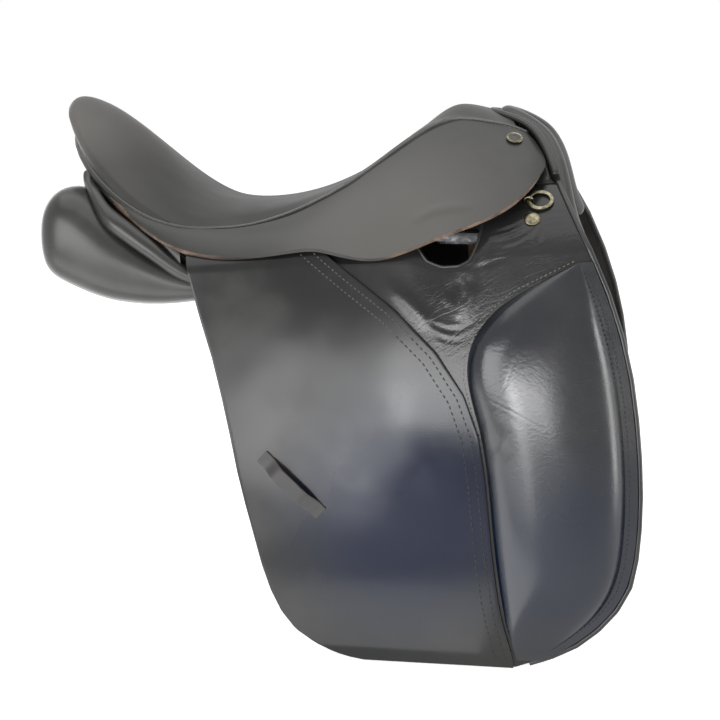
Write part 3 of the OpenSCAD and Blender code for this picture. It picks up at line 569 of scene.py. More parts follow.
def settled(piece):
    """Applies a piece's modifiers, so that single points can be moved after smoothing."""
    done = piece.evaluated_get(bpy.context.evaluated_depsgraph_get())
    mesh = bpy.data.meshes.new_from_object(done)
    piece.modifiers.clear()
    piece.data = mesh
    return piece


print("leather helpers ready")

# %% [markdown]
# The seat is a leather stretched over foam and sewn to the skirts with a thin welt between.
# The solids leave a small gap at the welt so that they never touch. The leather could be swollen to
# close it, but that would move the whole seat, so only the cut edge is drawn out to the welt, as the
# sewing does.

# %% Seat and its welt
WELT_SIDES = 6
Seam = namedtuple("Seam", "welt stop reach")


def point_tree(points):
    """A tree that finds the nearest of some points quickly."""
    tree = KDTree(len(points))
    for i, point in enumerate(points):
        tree.insert(point, i)
    tree.balance()
    return tree


def welt_points(node):
    bm = welded(node)
    tree = point_tree([vert.co for vert in bm.verts])
    bm.free()
    return tree


seams = [Seam(welt_points("seat_welt"), stop=1.2 * MM, reach=9 * MM),
         Seam(welt_points("pommel_welt"), stop=3.2 * MM, reach=14 * MM)]


def drawn_to_seam(bm):
    """Draws the cut edge to a welt within reach, and stops it short of the welt's middle."""
    for vert in {v for face in cut_edge(bm) for v in face.verts}:
        for welt, stop, reach in seams:
            near = [co for co, _, _ in welt.find_n(vert.co, WELT_SIDES)]
            gap = sum(near, Vector()) / len(near) - vert.co
            if stop < gap.length < reach:
                vert.co += gap * (1 - stop / gap.length)
                break


seat = leather_from("seat_cover", "seat_leather", seat_black, shaped=drawn_to_seam)
leather_from("seat_welt", "seat_welt_cord", welt_black, levels=1, radius=0.1 * MM)
print("seat faces", len(seat.data.polygons))

# %% [markdown]
# The skirts hang from the seat seam over the stirrup bars. Their cut edge has lost its dye behind the
# leg, and looks wider there than the leather is thick. So the skin is smoothed first, and then the
# faces close to the cut edge take its tan material too. Behind the welt both leathers turn in, and a
# thick, hidden copy of the welt fills the seam with their edges.

# %% Skirts and the seam behind the welt
WORN_WIDE = 2.2 * MM
WORN_BEHIND = -0.1
FACING_DOWN = -0.1
TURNED_IN = 3.6 * MM
INWARD = 0.65
DOWNWARD = 0.75


def edge_worn(piece, reach, behind):
    faces = piece.data.polygons
    cut = point_tree([f.center for f in faces if f.material_index == 1 and f.normal.z < FACING_DOWN])
    for face in faces:
        if face.center.x < behind and cut.find(face.center)[2] < reach:
            face.material_index = 1
    return piece


skirts = {}
for side in SIDES:
    skirt = leather_from(f"skirt_{side}", f"skirt_leather_{side}", skirt_black, raw_edge, 0.8 * MM,
                         levels=3, shaped=drawn_to_seam)
    skirts[side] = edge_worn(settled(skirt), WORN_WIDE, WORN_BEHIND)
leather_from("rear_facing", "rear_facing_leather", panel_black)
allowance = swollen(welded("seat_welt"), TURNED_IN)
for vert in allowance.verts:
    inward = -INWARD if vert.co.y > 0 else INWARD
    vert.co += TURNED_IN * Vector((0, inward, -DOWNWARD))
finished(allowance, "seam_allowance", "saddle", seat_black, slot="leather", levels=1)
print("skirt faces", len(skirts["left"].data.polygons))

# %% [markdown]
# The flap and the yoke above it are one soft leather on the real saddle, which bends at the fold when
# the flap is lifted. The solids stop on each side of the fold. Dressing each solid by itself would leave
# a slit, so one sheet is laid through both, with the same bow as the solids. First come the curves that
# the sheet follows: the sloping fold, the bowed flap below it and the yoke that leans in above it.

# %% Curves of flap and yoke
FOLD_Y = 0.150
FOLD_Z = 0.0129
FOLD_RISE = 0.082
FLAP_FLARE = 0.14
FLAP_BOW = 0.12
YOKE_LEAN = 0.45
YOKE_CURL = 10
REAR_LEAN = 0.5
LEAN_FADE = (-0.1, 0.06)


def ramp(x, low, high):
    """A soft step from 0 at low to 1 at high."""
    t = min(1.0, max(0.0, (x - low) / (high - low)))
    return t * t * (3 - 2 * t)


def fall(x, low, high):
    """A soft step from 1 at low to 0 at high."""
    return ramp(-x, -high, -low)


def fold_height(x):
    return FOLD_Z + FOLD_RISE * x


def flap_y(drop):
    return FOLD_Y + FLAP_FLARE * drop - FLAP_BOW * drop * drop


def yoke_y(x, rise):
    lean = 1 + REAR_LEAN * fall(x, *LEAN_FADE)
    return FOLD_Y - lean * (YOKE_LEAN * rise + YOKE_CURL * rise * rise)


print("fold at", FOLD_Y, FOLD_Z)

# %% [markdown]
# The outline of the sheet is read off the solids, so it stays true when the CAD model changes. At each
# height the edges of a solid's mesh that cross it show where the solid starts and ends.

# %% Read the outlines off the solids
X, Z = 0, 2
OUTLINE_STEPS = 300
EDGE_SKIN = 0.05 * MM
YOKE_REAR = -0.1299
YOKE_SQUARE_FROM = 0.14
YOKE_STEPS = 140


class Outline:
    """Where a CAD solid starts and ends along one axis, at a place on another."""

    def __init__(self, node, at, along):
        mesh = frame["nodes"][node].data
        self.ends = [[mesh.vertices[i].co for i in e.vertices] for e in mesh.edges]
        self.at = at
        self.along = along

    def reach(self, place):
        found = []
        for a, b in self.ends:
            low, high = a[self.at] - place, b[self.at] - place
            if low * high <= 0 and low != high:
                share = low / (low - high)
                found.append(a[self.along] + (b[self.along] - a[self.along]) * share)
        return (min(found), max(found)) if found else None


def even(start, end, steps):
    return [start + (end - start) * i / steps for i in range(steps + 1)]


def spread(values, places, x):
    """Straight-line reading of a row of values at places."""
    for i in range(len(places) - 1):
        if x <= places[i + 1] or i == len(places) - 2:
            share = (x - places[i]) / (places[i + 1] - places[i])
            return values[i] + (values[i + 1] - values[i]) * min(1.0, max(0.0, share))


def side_lines(node):
    """Heights up a solid, with the x of its rear and front edge at each."""
    low, high = (corner.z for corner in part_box(node))
    heights = even(low + EDGE_SKIN, high - EDGE_SKIN, OUTLINE_STEPS)
    outline = Outline(node, Z, X)
    rears, fronts = zip(*(outline.reach(z) for z in heights))
    return heights, rears, fronts


flap_heights, flap_rears, flap_fronts = side_lines("flap_left")
yoke_outline = Outline("yoke_left", X, Z)
yoke_places = even(YOKE_REAR, YOKE_SQUARE_FROM, YOKE_STEPS)
yoke_tops = [yoke_outline.reach(x)[1] - fold_height(x) for x in yoke_places]
print("flap outline read at", len(flap_heights), "heights")

# %% [markdown]
# Every point of the sheet is found from two shares: how far across it lies from the rear to the front
# edge, and how far down from the fold, or up from it on the yoke. Round the stirrup bar recess the real
# leather has stretched, so it hangs a little lower there.

# %% Places on flap and yoke
FLAP_REAR_LONG = 0.346
FLAP_FRONT_LONG = 0.357
NEAR_FOLD = 0.02
YOKE_HIGH = 0.054
YOKE_SET_BACK = 0.537
YOKE_SLANT_LONG = 0.076
RECESS_SAG = 11 * MM
SAG_REAR = (0.055, 0.095)
SAG_FRONT = (0.112, 0.132)
SAG_FADE = 0.03
FIRST_GUESS = (-0.2, 0.3)
SETTLING_ROUNDS = 8


@lru_cache(None)
def flap_ends(share):
    """Rear and front x of the flap at a share of its length below the sloping fold."""
    if share < NEAR_FOLD:
        onward = 1 - share / NEAR_FOLD
        pairs = zip(flap_ends(NEAR_FOLD), flap_ends(2 * NEAR_FOLD))
        return tuple(near + (near - below) * onward for near, below in pairs)
    rear, front = FIRST_GUESS
    for _ in range(SETTLING_ROUNDS):
        rear = spread(flap_rears, flap_heights, fold_height(rear) - share * FLAP_REAR_LONG)
        front = spread(flap_fronts, flap_heights, fold_height(front) - share * FLAP_FRONT_LONG)
    return rear, front


def recess_sag(x, drop):
    return RECESS_SAG * ramp(x, *SAG_REAR) * fall(x, *SAG_FRONT) * exp(-drop / SAG_FADE)


def flap_place(across, share, proud=0.0):
    """A point on the flap's outer face on the near side."""
    rear, front = flap_ends(share)
    x = rear + (front - rear) * across
    drop = share * (FLAP_REAR_LONG + (FLAP_FRONT_LONG - FLAP_REAR_LONG) * across)
    return Vector((x, flap_y(drop) + proud, fold_height(x) - drop - recess_sag(x, drop)))


def yoke_place(across, share):
    """A point on the yoke's outer face: share 0 at the fold, 1 at its upper edge."""
    rear, front = flap_ends(0.0)
    start = rear + (front - rear) * across
    rise = share * (YOKE_HIGH if start > YOKE_SQUARE_FROM else spread(yoke_tops, yoke_places, start))
    slant = max(0.0, (start - YOKE_SQUARE_FROM) / YOKE_SLANT_LONG)
    x = start - YOKE_SET_BACK * rise * slant
    return Vector((x, yoke_y(x, rise), fold_height(x) + rise - recess_sag(x, 0.0)))


print("fold runs from x", [round(x, 4) for x in flap_ends(0.0)])

# %% [markdown]
# A sheet is a plain grid whose points are sent to their places on the near side, then mirrored if need
# be. Solidify gives it the thickness of the leather.

# %% Soft flap leather across the fold
SOFT_THICK = 2.5 * MM
YOKE_ROWS = 34
FLAP_ROWS = 140
FLAP_COLUMNS = 220


def sheet(side, columns, rows, place):
    """A grid laid out by its share across and its row, on its own side and facing out."""
    bm = bmesh.new()
    bmesh.ops.create_grid(bm, x_segments=columns, y_segments=rows, size=1)
    for vert in bm.verts:
        vert.co = place((vert.co.x + 1) / 2, round((1 - vert.co.y) / 2 * rows))
    bmesh.ops.scale(bm, vec=(1, SIDES[side], 1), verts=bm.verts)
    bmesh.ops.recalc_face_normals(bm, faces=bm.faces)
    if sum(f.normal.y for f in bm.faces) * SIDES[side] < 0:
        bmesh.ops.reverse_faces(bm, faces=bm.faces)
    return bm


def walled(piece, thick, inner, rim):
    """Gives a sheet its thickness inward; inner and rim count on to other materials."""
    wall = piece.modifiers.new("thickness", "SOLIDIFY")
    wall.thickness = thick
    wall.offset = -1
    wall.material_offset = inner
    wall.material_offset_rim = rim
    return piece


def both_bodies(piece):
    """Bakes a leather's placement into its mesh."""
    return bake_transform(piece)


def soft_place(across, row):
    if row < YOKE_ROWS:
        return yoke_place(across, 1 - row / YOKE_ROWS)
    return flap_place(across, (row - YOKE_ROWS) / FLAP_ROWS)


soft_flaps = {}
for side in SIDES:
    bm = sheet(side, FLAP_COLUMNS, YOKE_ROWS + FLAP_ROWS, soft_place)
    piece = finished(bm, f"soft_flap_{side}", None, soft_black, flesh_side, slot="soft_leather",
                     nodes=[f"flap_{side}", f"yoke_{side}"])
    soft_flaps[side] = both_bodies(walled(piece, SOFT_THICK, inner=1, rim=0))
print("soft flap faces", len(soft_flaps["left"].data.polygons))

# %% [markdown]
# The front edge of the flap is bound with a rolled strip of leather, and the binding runs on up the
# yoke. It could be cut from the solids, but they stop at the fold. A round tube along the edge of the
# sheet does it.

# %% Front binding
BINDING_RADIUS = 2.4 * MM
BINDING_ON_YOKE = 30
BINDING_ON_FLAP = 120
BINDING_END = 0.992
BINDING_AHEAD = 0.8
TUBE_ROUNDNESS = 3


def tube(points, radius, name, material):
    """A round welt through points, as a closed mesh."""
    curve = bpy.data.curves.new(name, "CURVE")
    curve.dimensions = "3D"
    curve.bevel_depth = radius
    curve.bevel_resolution = TUBE_ROUNDNESS
    curve.use_fill_caps = True
    spline = curve.splines.new("POLY")
    spline.points.add(len(points) - 1)
    for made, point in zip(spline.points, points):
        made.co = (*point, 1)
    holder = bpy.data.objects.new(name + "_line", curve)
    scene.collection.objects.link(holder)
    mesh = bpy.data.meshes.new_from_object(holder.evaluated_get(bpy.context.evaluated_depsgraph_get()))
    bpy.data.objects.remove(holder)
    bpy.data.curves.remove(curve)
    mesh.name = name
    mesh.materials.clear()
    mesh.materials.append(material)
    mesh.shade_smooth()
    piece = bpy.data.objects.new(name, mesh)
    scene.collection.objects.link(piece)
    return piece


for side, sign in SIDES.items():
    edge = [yoke_place(1.0, 1 - i / BINDING_ON_YOKE) for i in range(BINDING_ON_YOKE)]
    edge += [flap_place(1.0, BINDING_END * i / BINDING_ON_FLAP) for i in range(BINDING_ON_FLAP + 1)]
    ahead = BINDING_AHEAD * BINDING_RADIUS
    edge = [Vector((p.x + ahead, sign * (p.y - SOFT_THICK / 2), p.z)) for p in edge]
    binding = tube(edge, BINDING_RADIUS, f"front_binding_{side}", piping_black)
    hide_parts(f"flap_binding_{side}", f"yoke_binding_{side}")
    both_bodies(binding)
print("binding points", len(edge))

# %% [markdown]
# The firm section is a second, stiffer leather sewn on the flap, and it runs on up under the skirt. Its
# front edge is read off its solid, and the rest is a sheet laid just proud of the flap. Slow waves, a
# few centimetres long, keep its reflections from looking like those of a sheet of glass.

# %% Firm section
FIRM_THICK = 3 * MM
FIRM_PROUD = FIRM_THICK + 0.3 * MM
FIRM_RISE = 20 * MM
FIRM_SWEEP = 0.27
FIRM_CURL = 20
FIRM_REAR_CURL = 15
CURL_FADE = (-0.1, 0.0)
FIRM_EDGE = 0.7 * MM
FIRM_LIFTS = 14
FIRM_ROWS = 110
FIRM_COLUMNS = 70
WAVE_HEIGHT = 0.32 * MM
LONG_WAVE = 13
SHORT_WAVE = 31
SHORT_SHARE = 0.35
firm_heights, _, firm_fronts = side_lines("flap_firm_left")


@lru_cache(None)
def firm_reach(share):
    """How far across the flap the firm section goes, at a share of the flap's length."""
    rear, front = flap_ends(share)
    across = 0.5
    for _ in range(SETTLING_ROUNDS):
        x = spread(firm_fronts, firm_heights, flap_place(across, share).z)
        across = (x - rear) / (front - rear)
    return across


def firm_place(across, share):
    return flap_place(across * firm_reach(share), share, FIRM_PROUD)


def firm_lift(across, rise):
    """Above the fold the leather goes on up under the skirt, and its front edge goes on running back."""
    start = firm_place(across, 0.0)
    curl = FIRM_CURL + FIRM_REAR_CURL * fall(start.x, *CURL_FADE)
    back = rise * (FIRM_SWEEP + across ** 3)
    return start + Vector((-back, -FLAP_FLARE * rise - curl * rise * rise, rise))


def firm_row_place(across, row):
    if row < FIRM_LIFTS:
        return firm_lift(across, FIRM_RISE * (1 - row / FIRM_LIFTS))
    return firm_place(across, (row - FIRM_LIFTS) / FIRM_ROWS)


def waved(piece, height):
    """Slow waves, as in leather that was wetted and dried."""
    for vert in piece.data.vertices:
        place = Vector((vert.co.x, abs(vert.co.y), vert.co.z))
        wave = noise.noise(place * LONG_WAVE) + SHORT_SHARE * noise.noise(place * SHORT_WAVE)
        vert.co.y += height * wave * (1 if vert.co.y > 0 else -1)
    return piece


firm = {}
for side in SIDES:
    bm = sheet(side, FIRM_COLUMNS, FIRM_LIFTS + FIRM_ROWS, firm_row_place)
    piece = finished(bm, f"firm_section_{side}", None, firm_black, dark_edge, slot="leather",
                     nodes=[f"flap_firm_{side}"])
    walled(waved(piece, WAVE_HEIGHT), FIRM_THICK, inner=0, rim=1)
    round_off = piece.modifiers.new("rounded edge", "BEVEL")
    round_off.width = FIRM_EDGE
    round_off.segments = 2
    round_off.limit_method = "ANGLE"
    firm[side] = both_bodies(piece)
print("firm section faces", len(firm["left"].data.polygons))

# %% [markdown]
# The knee pad is leather over shaped foam. The foam block stays inside it as its own piece, shrunk a
# little so that it never pokes through. The pad is smoothed finely and settled, because creases will be
# pressed into it. The keeper is a small strap that holds the stirrup leather.

# %% Knee pads and keepers
FOAM_CLEAR = 1.5 * MM
knee = {}
for side in SIDES:
    pad = leather_from(f"knee_cover_{side}", f"knee_pad_{side}", knee_black, radius=0.4 * MM, levels=4)
    knee[side] = settled(pad)
    block = leather_from(f"knee_block_{side}", f"knee_foam_{side}", foam_grey, levels=1, slot="foam",
                         shaped=lambda bm: swollen(bm, -FOAM_CLEAR))
    leather_from(f"keeper_{side}", f"keeper_strap_{side}", strap_black, raw_edge, 0.5 * MM)
print("knee pad faces", len(knee["left"].data.polygons))

# %% [markdown]
# Used leather creases where it bends. Noise alone gives creases that could be anywhere, so the larger
# ones follow lines traced in the photograph. A positive height makes a soft swelling, a negative one a
# valley between low rolls.

# %% Creases traced in the photograph
# each crease: pixels of the photograph, height in mm, half width in mm
FINE = (-0.13, 0.95)
FLAP_CREASES = [
    ([(461, 258), (462, 280), (455, 292)], -1.0, 5.0),
    ([(394, 288), (412, 306), (430, 325)], 1.3, 6.5),
    ([(474, 284), (466, 305), (461, 321)], 1.5, 8.0),
    ([(428, 321), (440, 328), (452, 331), (466, 328), (475, 320)], -0.32, 1.7),
    ([(437, 336), (447, 341), (460, 341)], -0.22, 1.6),
    ([(494, 233), (510, 229), (526, 222)], -0.5, 1.8),
    ([(497, 240), (512, 235), (529, 226)], -0.5, 1.8),
    ([(503, 246), (520, 240), (534, 230)], -0.45, 1.8),
    ([(534, 228), (531, 239)], -0.4, 1.7),
    ([(541, 228), (541, 240)], -0.4, 1.7),
    ([(547, 215), (557, 213), (566, 213)], -0.35, 1.7),
    ([(548, 221), (558, 218), (568, 218)], -0.35, 1.7),
    ([(468, 262), (484, 256), (506, 250)], -0.5, 1.9),
    ([(474, 257), (490, 250), (510, 245)], -0.45, 1.8),
    ([(482, 250), (498, 244), (518, 242)], -0.4, 1.8),
    ([(472, 269), (490, 263), (514, 256)], -0.4, 2.0),
]
PAD_LINES = [
    ([(479, 345), (493, 350), (506, 350), (516, 346)], *FINE),
    ([(479, 374), (490, 378), (504, 381)], *FINE),
    ([(518, 354), (510, 374), (499, 400), (493, 416), (486, 436)], *FINE),
    ([(482, 396), (498, 405), (515, 413), (544, 430)], *FINE),
    ([(497, 321), (515, 328), (529, 333)], *FINE),
    ([(540, 332), (560, 339), (575, 343)], *FINE),
    ([(575, 320), (598, 320)], *FINE),
    ([(515, 436), (493, 460)], *FINE),
    ([(563, 438), (576, 437), (587, 427)], *FINE),
    ([(500, 437), (489, 452)], -0.5, 6.0),
]
SKIRT_LINES = [([(412, 222), (426, 213), (444, 208), (472, 206)], 1.3, 4.5)]
print("creases traced", len(FLAP_CREASES + PAD_LINES + SKIRT_LINES))

# %% [markdown]
# A traced line of pixels is sent through the camera onto the leather of the off side, and the same line
# is pressed into both sides. Each point of the leather near the line moves along its normal by a bell
# curve, and the crease fades out towards its ends.

# %% Press the creases in
PHOTO_WIDE = 720
CREASE_REACH = 3
ROLL_SHARE = 0.5
FACING_OUT = 0.1


def photo_ray(pixel):
    """The direction in which the camera sees a pixel of the photograph."""
    wide = camera_data.sensor_width / camera_data.lens
    x, y = (p / PHOTO_WIDE - 0.5 for p in pixel)
    return (camera.rotation_euler.to_matrix() @ Vector((x * wide, -y * wide, -1))).normalized()


def surface(piece):
    return BVHTree.FromObject(piece, bpy.context.evaluated_depsgraph_get())


def traced(piece, pixels):
    skin = surface(piece)
    hits = [skin.ray_cast(camera.location, photo_ray(pixel))[0] for pixel in pixels]
    return [hit for hit in hits if hit]


def stepped(points, step):
    """Places at even steps along a line whose corners were cut twice."""
    for _ in range(2):
        cut = [points[0]]
        for a, b in zip(points, points[1:]):
            cut += [a.lerp(b, 0.25), a.lerp(b, 0.75)]
        points = cut + [points[-1]]
    made = []
    ahead = 0.0
    for a, b in zip(points, points[1:]):
        length = (b - a).length
        while ahead < length:
            made.append(a.lerp(b, ahead / length))
            ahead += step
        ahead -= length
    return made


def pressed(piece, sign, lines):
    points = piece.data.vertices
    normals = [v.normal.copy() for v in points]
    for path, height, wide in lines:
        tree = point_tree([Vector((place.x, sign * abs(place.y), place.z)) for place in path])
        reach = CREASE_REACH * wide
        low, high = (f(place.x for place in path) for f in (min, max))
        for vert, normal in zip(points, normals):
            if normal.y * sign < FACING_OUT or not low - reach < vert.co.x < high + reach:
                continue
            _, i, gap = tree.find(vert.co)
            if gap < reach:
                shape = exp(-(gap / wide) ** 2)
                if height < 0:
                    shape -= ROLL_SHARE * exp(-(gap / wide - 2) ** 2)
                ends = sin(pi * (i + 1) / (len(path) + 1)) ** 0.5
                vert.co += normal * height * shape * ends


for pair, lines in ((soft_flaps, FLAP_CREASES), (knee, PAD_LINES), (skirts, SKIRT_LINES)):
    found = [(traced(pair["right"], pixels), height * MM, wide * MM) for pixels, height, wide in lines]
    ready = [(stepped(path, MM), height, wide) for path, height, wide in found if len(path) > 1]
    for side, sign in SIDES.items():
        pressed(pair[side], sign, ready)
    print(pair["right"].name, "creases", len(ready))

# %% [markdown]
# Stitches hold it all together. They could be drawn in a material, but real ones stand up and catch the
# light. So each stitch is one small ball, drawn out along its row and half sunk in the leather below. A
# row follows an edge at a set distance, and its stitches are dropped onto the leather from the side.

# %% Sew a row of stitches
REAR, FRONT = 0, 1
ROW_STEPS = 90
FIRM_ROW_LIFTS = 12
FIRM_ROW_END = 0.98


def inset_row(edge, inset):
    """A line beside an edge, moved sideways in the flap's plane."""
    last = len(edge) - 1
    row = []
    for i, (x, z) in enumerate(edge):
        (xa, za), (xb, zb) = edge[max(0, i - 2)], edge[min(last, i + 2)]
        across = Vector((zb - za, xa - xb)).normalized()
        row.append(Vector((x + inset * across.x, 0, z + inset * across.y)))
    return row


def edge_row(node, which, inset, low, high):
    """A line beside the rear or front edge of a CAD solid, from a high to a low place."""
    outline = Outline(node, Z, X)
    return inset_row([(outline.reach(z)[which], z) for z in even(high, low, ROW_STEPS)], inset)


def firm_row(inset):
    """A line beside the front edge of the firm section, from under the skirt to the bottom."""
    edge = [firm_lift(1.0, FIRM_RISE * (1 - i / FIRM_ROW_LIFTS)) for i in range(FIRM_ROW_LIFTS)]
    edge += [firm_place(1.0, FIRM_ROW_END * i / ROW_STEPS) for i in range(ROW_STEPS + 1)]
    return inset_row([(place.x, place.z) for place in edge], inset)


def sewn(name, piece, body, path, thread, side, pitch=4.2 * MM, long=2.6 * MM, thick=1.1 * MM):
    sign = SIDES[side]
    skin = surface(piece)
    bm = bmesh.new()
    places = stepped(path, pitch)
    for i, place in enumerate(places):
        hit, out, _, _ = skin.ray_cast(Vector((place.x, sign, place.z)), Vector((0, -sign, 0)))
        if not hit:
            continue
        ahead = places[min(i + 1, len(places) - 1)] - places[max(i - 1, 0)]
        ahead.y = 0
        along = (ahead - out * ahead.dot(out)).normalized()
        turn = Matrix((along, out.cross(along), out)).transposed().to_4x4()
        size = Matrix.Diagonal((long / 2, thick / 2, thick / 2, 1))
        bmesh.ops.create_uvsphere(bm, u_segments=6, v_segments=4, radius=1,
                                  matrix=Matrix.Translation(hit) @ turn @ size)
    made = finished(bm, name, body, thread, slot="leather")
    return made if body else both_bodies(made)


print("stitch helpers ready")

# %% [markdown]
# Two rows run along the firm section. Their thread has paled near the top and is still dark further down,
# where it is also coarser. A pale row runs above and behind the knee pad, a dark one along its front rim,
# and a few tan stitches show on the seat seam near the pommel.

# %% Rows of stitches
WORN_ABOVE = -0.045
FIRM_INSETS = (6.5 * MM, 14.5 * MM)
SEAM_PIXELS = [(444, 120), (458, 118.5), (472, 118.5), (487, 121), (505, 126), (521, 130)]
seam_path = traced(skirts["right"], SEAM_PIXELS)
for side in SIDES:
    body = f"flap_{side}"
    cover = f"knee_cover_{side}"
    pad_low, pad_high = (corner.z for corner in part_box(cover))
    for row, inset in enumerate(FIRM_INSETS):
        path = firm_row(inset)
        worn = [place for place in path if place.z > WORN_ABOVE]
        sewn(f"firm_stitches_{row}_{side}", firm[side], None, worn, grey_thread, side)
        sewn(f"firm_dark_stitches_{row}_{side}", firm[side], body, path[len(worn):], dark_thread, side,
             pitch=5.4 * MM, long=3.7 * MM, thick=1.4 * MM)
    path = edge_row(cover, REAR, 2.6 * MM, pad_low + 180 * MM, pad_high - 3 * MM)
    sewn(f"pad_seam_stitches_{side}", soft_flaps[side], body, path, pale_thread, side)
    path = edge_row(cover, FRONT, 7 * MM, pad_low + 8 * MM, pad_high - 6 * MM)
    sewn(f"rim_stitches_{side}", knee[side], body, path, dark_thread, side)
    sewn(f"seat_seam_stitches_{side}", skirts[side], "saddle", seam_path, tan_thread, side)

# %% [markdown]
# Where the yoke is cut away for the stirrup bar, its edge is turned over a thin cord. The same tube as
# on the front edge makes this welt, along the upper edge of the yoke.

# %% Welt round the stirrup bar recess
RECESS_FROM = 0.045
RECESS_TO = 0.135
RECESS_WELT_RADIUS = 1.3 * MM
RECESS_WELT_PROUD = 0.2 * MM
RECESS_STEPS = 60
for side, sign in SIDES.items():
    rear, front = flap_ends(0.0)
    starts = even(RECESS_FROM, RECESS_TO, RECESS_STEPS)
    edge = [yoke_place((x - rear) / (front - rear), 1.0) for x in starts]
    edge = [Vector((p.x, sign * (p.y + RECESS_WELT_PROUD), p.z)) for p in edge]
    welt = tube(edge, RECESS_WELT_RADIUS, f"recess_welt_{side}", piping_black)
    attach(welt, "saddle")
print("recess welt points", len(edge))

# %% [markdown]
# The panels are the wool-stuffed cushions that rest on the horse. Only their outer skin shows, so the
# inner wall of the solid is dropped and the open ends are closed before the surface is smoothed. Under
# the cantle the real panel is packed tight against the seat: its top is filled out and its welt is drawn
# in, lifted and made fuller, fading out at both ends so that no step shows.

# %% Fill out a panel and its welt
PANEL_SHARP = radians(60)
RIM_ROUNDS = 4
PANEL_FULL = 7 * MM
PANEL_REAR = (-0.285, -0.235)
PANEL_FRONT = (-0.17, -0.13)
PANEL_TOP = (0.0, 0.7)
WELT_FULL = 4.2 * MM
WELT_IN = 6 * MM
WELT_REAR = (-0.245, -0.2)
WELT_FRONT = (-0.15, -0.115)
THIN_SHARE = 0.15
WELT_LIFT = 13 * MM
LIFT_REAR = (-0.24, -0.185)
LIFT_FRONT = (-0.175, -0.12)


def outer_skin(node):
    bm = quads(welded(node))
    kept = set(plots(bm, PANEL_SHARP)[0])
    bmesh.ops.delete(bm, geom=[f for f in bm.faces if f not in kept], context="FACES")
    caps = bmesh.ops.holes_fill(bm, edges=[e for e in bm.edges if e.is_boundary], sides=0)["faces"]
    rims = {v for cap in caps for v in cap.verts}
    rims |= {other for v in rims for e in v.link_edges for other in e.verts}
    for _ in range(RIM_ROUNDS):
        bmesh.ops.smooth_vert(bm, verts=list(rims), factor=0.5, use_axis_x=True, use_axis_y=True,
                              use_axis_z=True)
    return bm


def stuffed(bm):
    """Fills the top of the panel out to the welt under the cantle."""
    bm.normal_update()
    for vert in bm.verts:
        near_welt = fall(vert.co.x, *PANEL_FRONT) * ramp(vert.co.x, *PANEL_REAR)
        vert.co += PANEL_FULL * near_welt * ramp(vert.normal.z, *PANEL_TOP) * vert.normal
    return bm


def seated(bm):
    """Draws the welt in under the cantle and up to the skirt, where it is also fuller."""
    bm.normal_update()
    for vert in bm.verts:
        x = vert.co.x
        full = THIN_SHARE + (1 - THIN_SHARE) * ramp(x, *WELT_REAR) * fall(x, *WELT_FRONT)
        lift = ramp(x, *LIFT_REAR) * fall(x, *LIFT_FRONT)
        vert.co += WELT_FULL * full * vert.normal
        vert.co += Vector((WELT_IN * fall(x, *WELT_REAR), 0, WELT_LIFT * lift))


print("panel helpers ready")

# %% [markdown]
# The welts and the roll round the front arch are tubes with few sides in the CAD model. A bevel would
# keep those sides as ridges, so they get no bevel, only smoothing, and are swollen a little because
# smoothing shrinks a tube. The wool, foam and webs inside keep their solids' shapes.

# %% Panels, roll, welts and stuffing
ROLL_SWELL = 1.2 * MM
POMMEL_SWELL = 0.6 * MM
for side in SIDES:
    panel = finished(stuffed(outer_skin(f"panel_{side}")), f"panel_cushion_{side}", "saddle", panel_black,
                     slot="soft_leather", levels=2, nodes=[f"panel_{side}"])
    flock = leather_from(f"panel_flock_{side}", f"panel_wool_{side}", wool_cream, levels=1, slot="wool")
    leather_from(f"panel_welt_{side}", f"panel_welt_roll_{side}", panel_black, radius=0, shaped=seated)
    leather_from(f"head_cover_{side}", f"head_leather_{side}", piping_black)
    leather_from(f"sweat_flap_{side}", f"sweat_flap_leather_{side}", sweat_black, levels=0, radius=0.8 * MM)
roll = leather_from("panel_roll", "front_roll", panel_black, radius=0, slot="soft_leather",
                    shaped=lambda bm: swollen(bm, ROLL_SWELL))
leather_from("pommel_welt", "pommel_welt_cord", piping_black, radius=0,
             shaped=lambda bm: swollen(bm, POMMEL_SWELL))
foam = leather_from("seat_foam", "seat_foam_pad", foam_grey, levels=1, slot="foam")
leather_from("seat_webs", "seat_web_straps", web_canvas, levels=1, slot="canvas", radius=0.3 * MM)
print("panel faces", len(panel.data.polygons))

# %% [markdown]
# Straps, webs and metal fittings keep their CAD shapes. Their edges are rounded, because a sharp edge
# never catches the light the way a worn strap or a cast fitting does. The buttons have a dark face
# inside a brass rim, so their faces near the middle take a second material.

# %% Straps and fittings
BUTTON_FACE = 5.6 * MM
FITTING_FLAT = radians(1)
FITTING_SHARP = radians(30)


def dark_faced(bm):
    for sign in SIDES.values():
        mine = [f for f in bm.faces if f.calc_center_median().y * sign > 0]
        spots = {v.co.to_tuple(6) for f in mine for v in f.verts}
        middle = sum((Vector(c) for c in spots), Vector()) / len(spots)
        for face in mine:
            face.material_index = int((face.calc_center_median() - middle).length < BUTTON_FACE)


def fitting(node, name, materials, slot, radius, flat=True):
    bm = welded(node)
    if flat:
        bmesh.ops.dissolve_limit(bm, angle_limit=FITTING_FLAT, verts=bm.verts, edges=bm.edges)
    if len(materials) > 1:
        dark_faced(bm)
    rounded(bm, radius, FITTING_SHARP, segments=3)
    return finished(bm, name, body_of(node), *materials, slot=slot, nodes=[node])


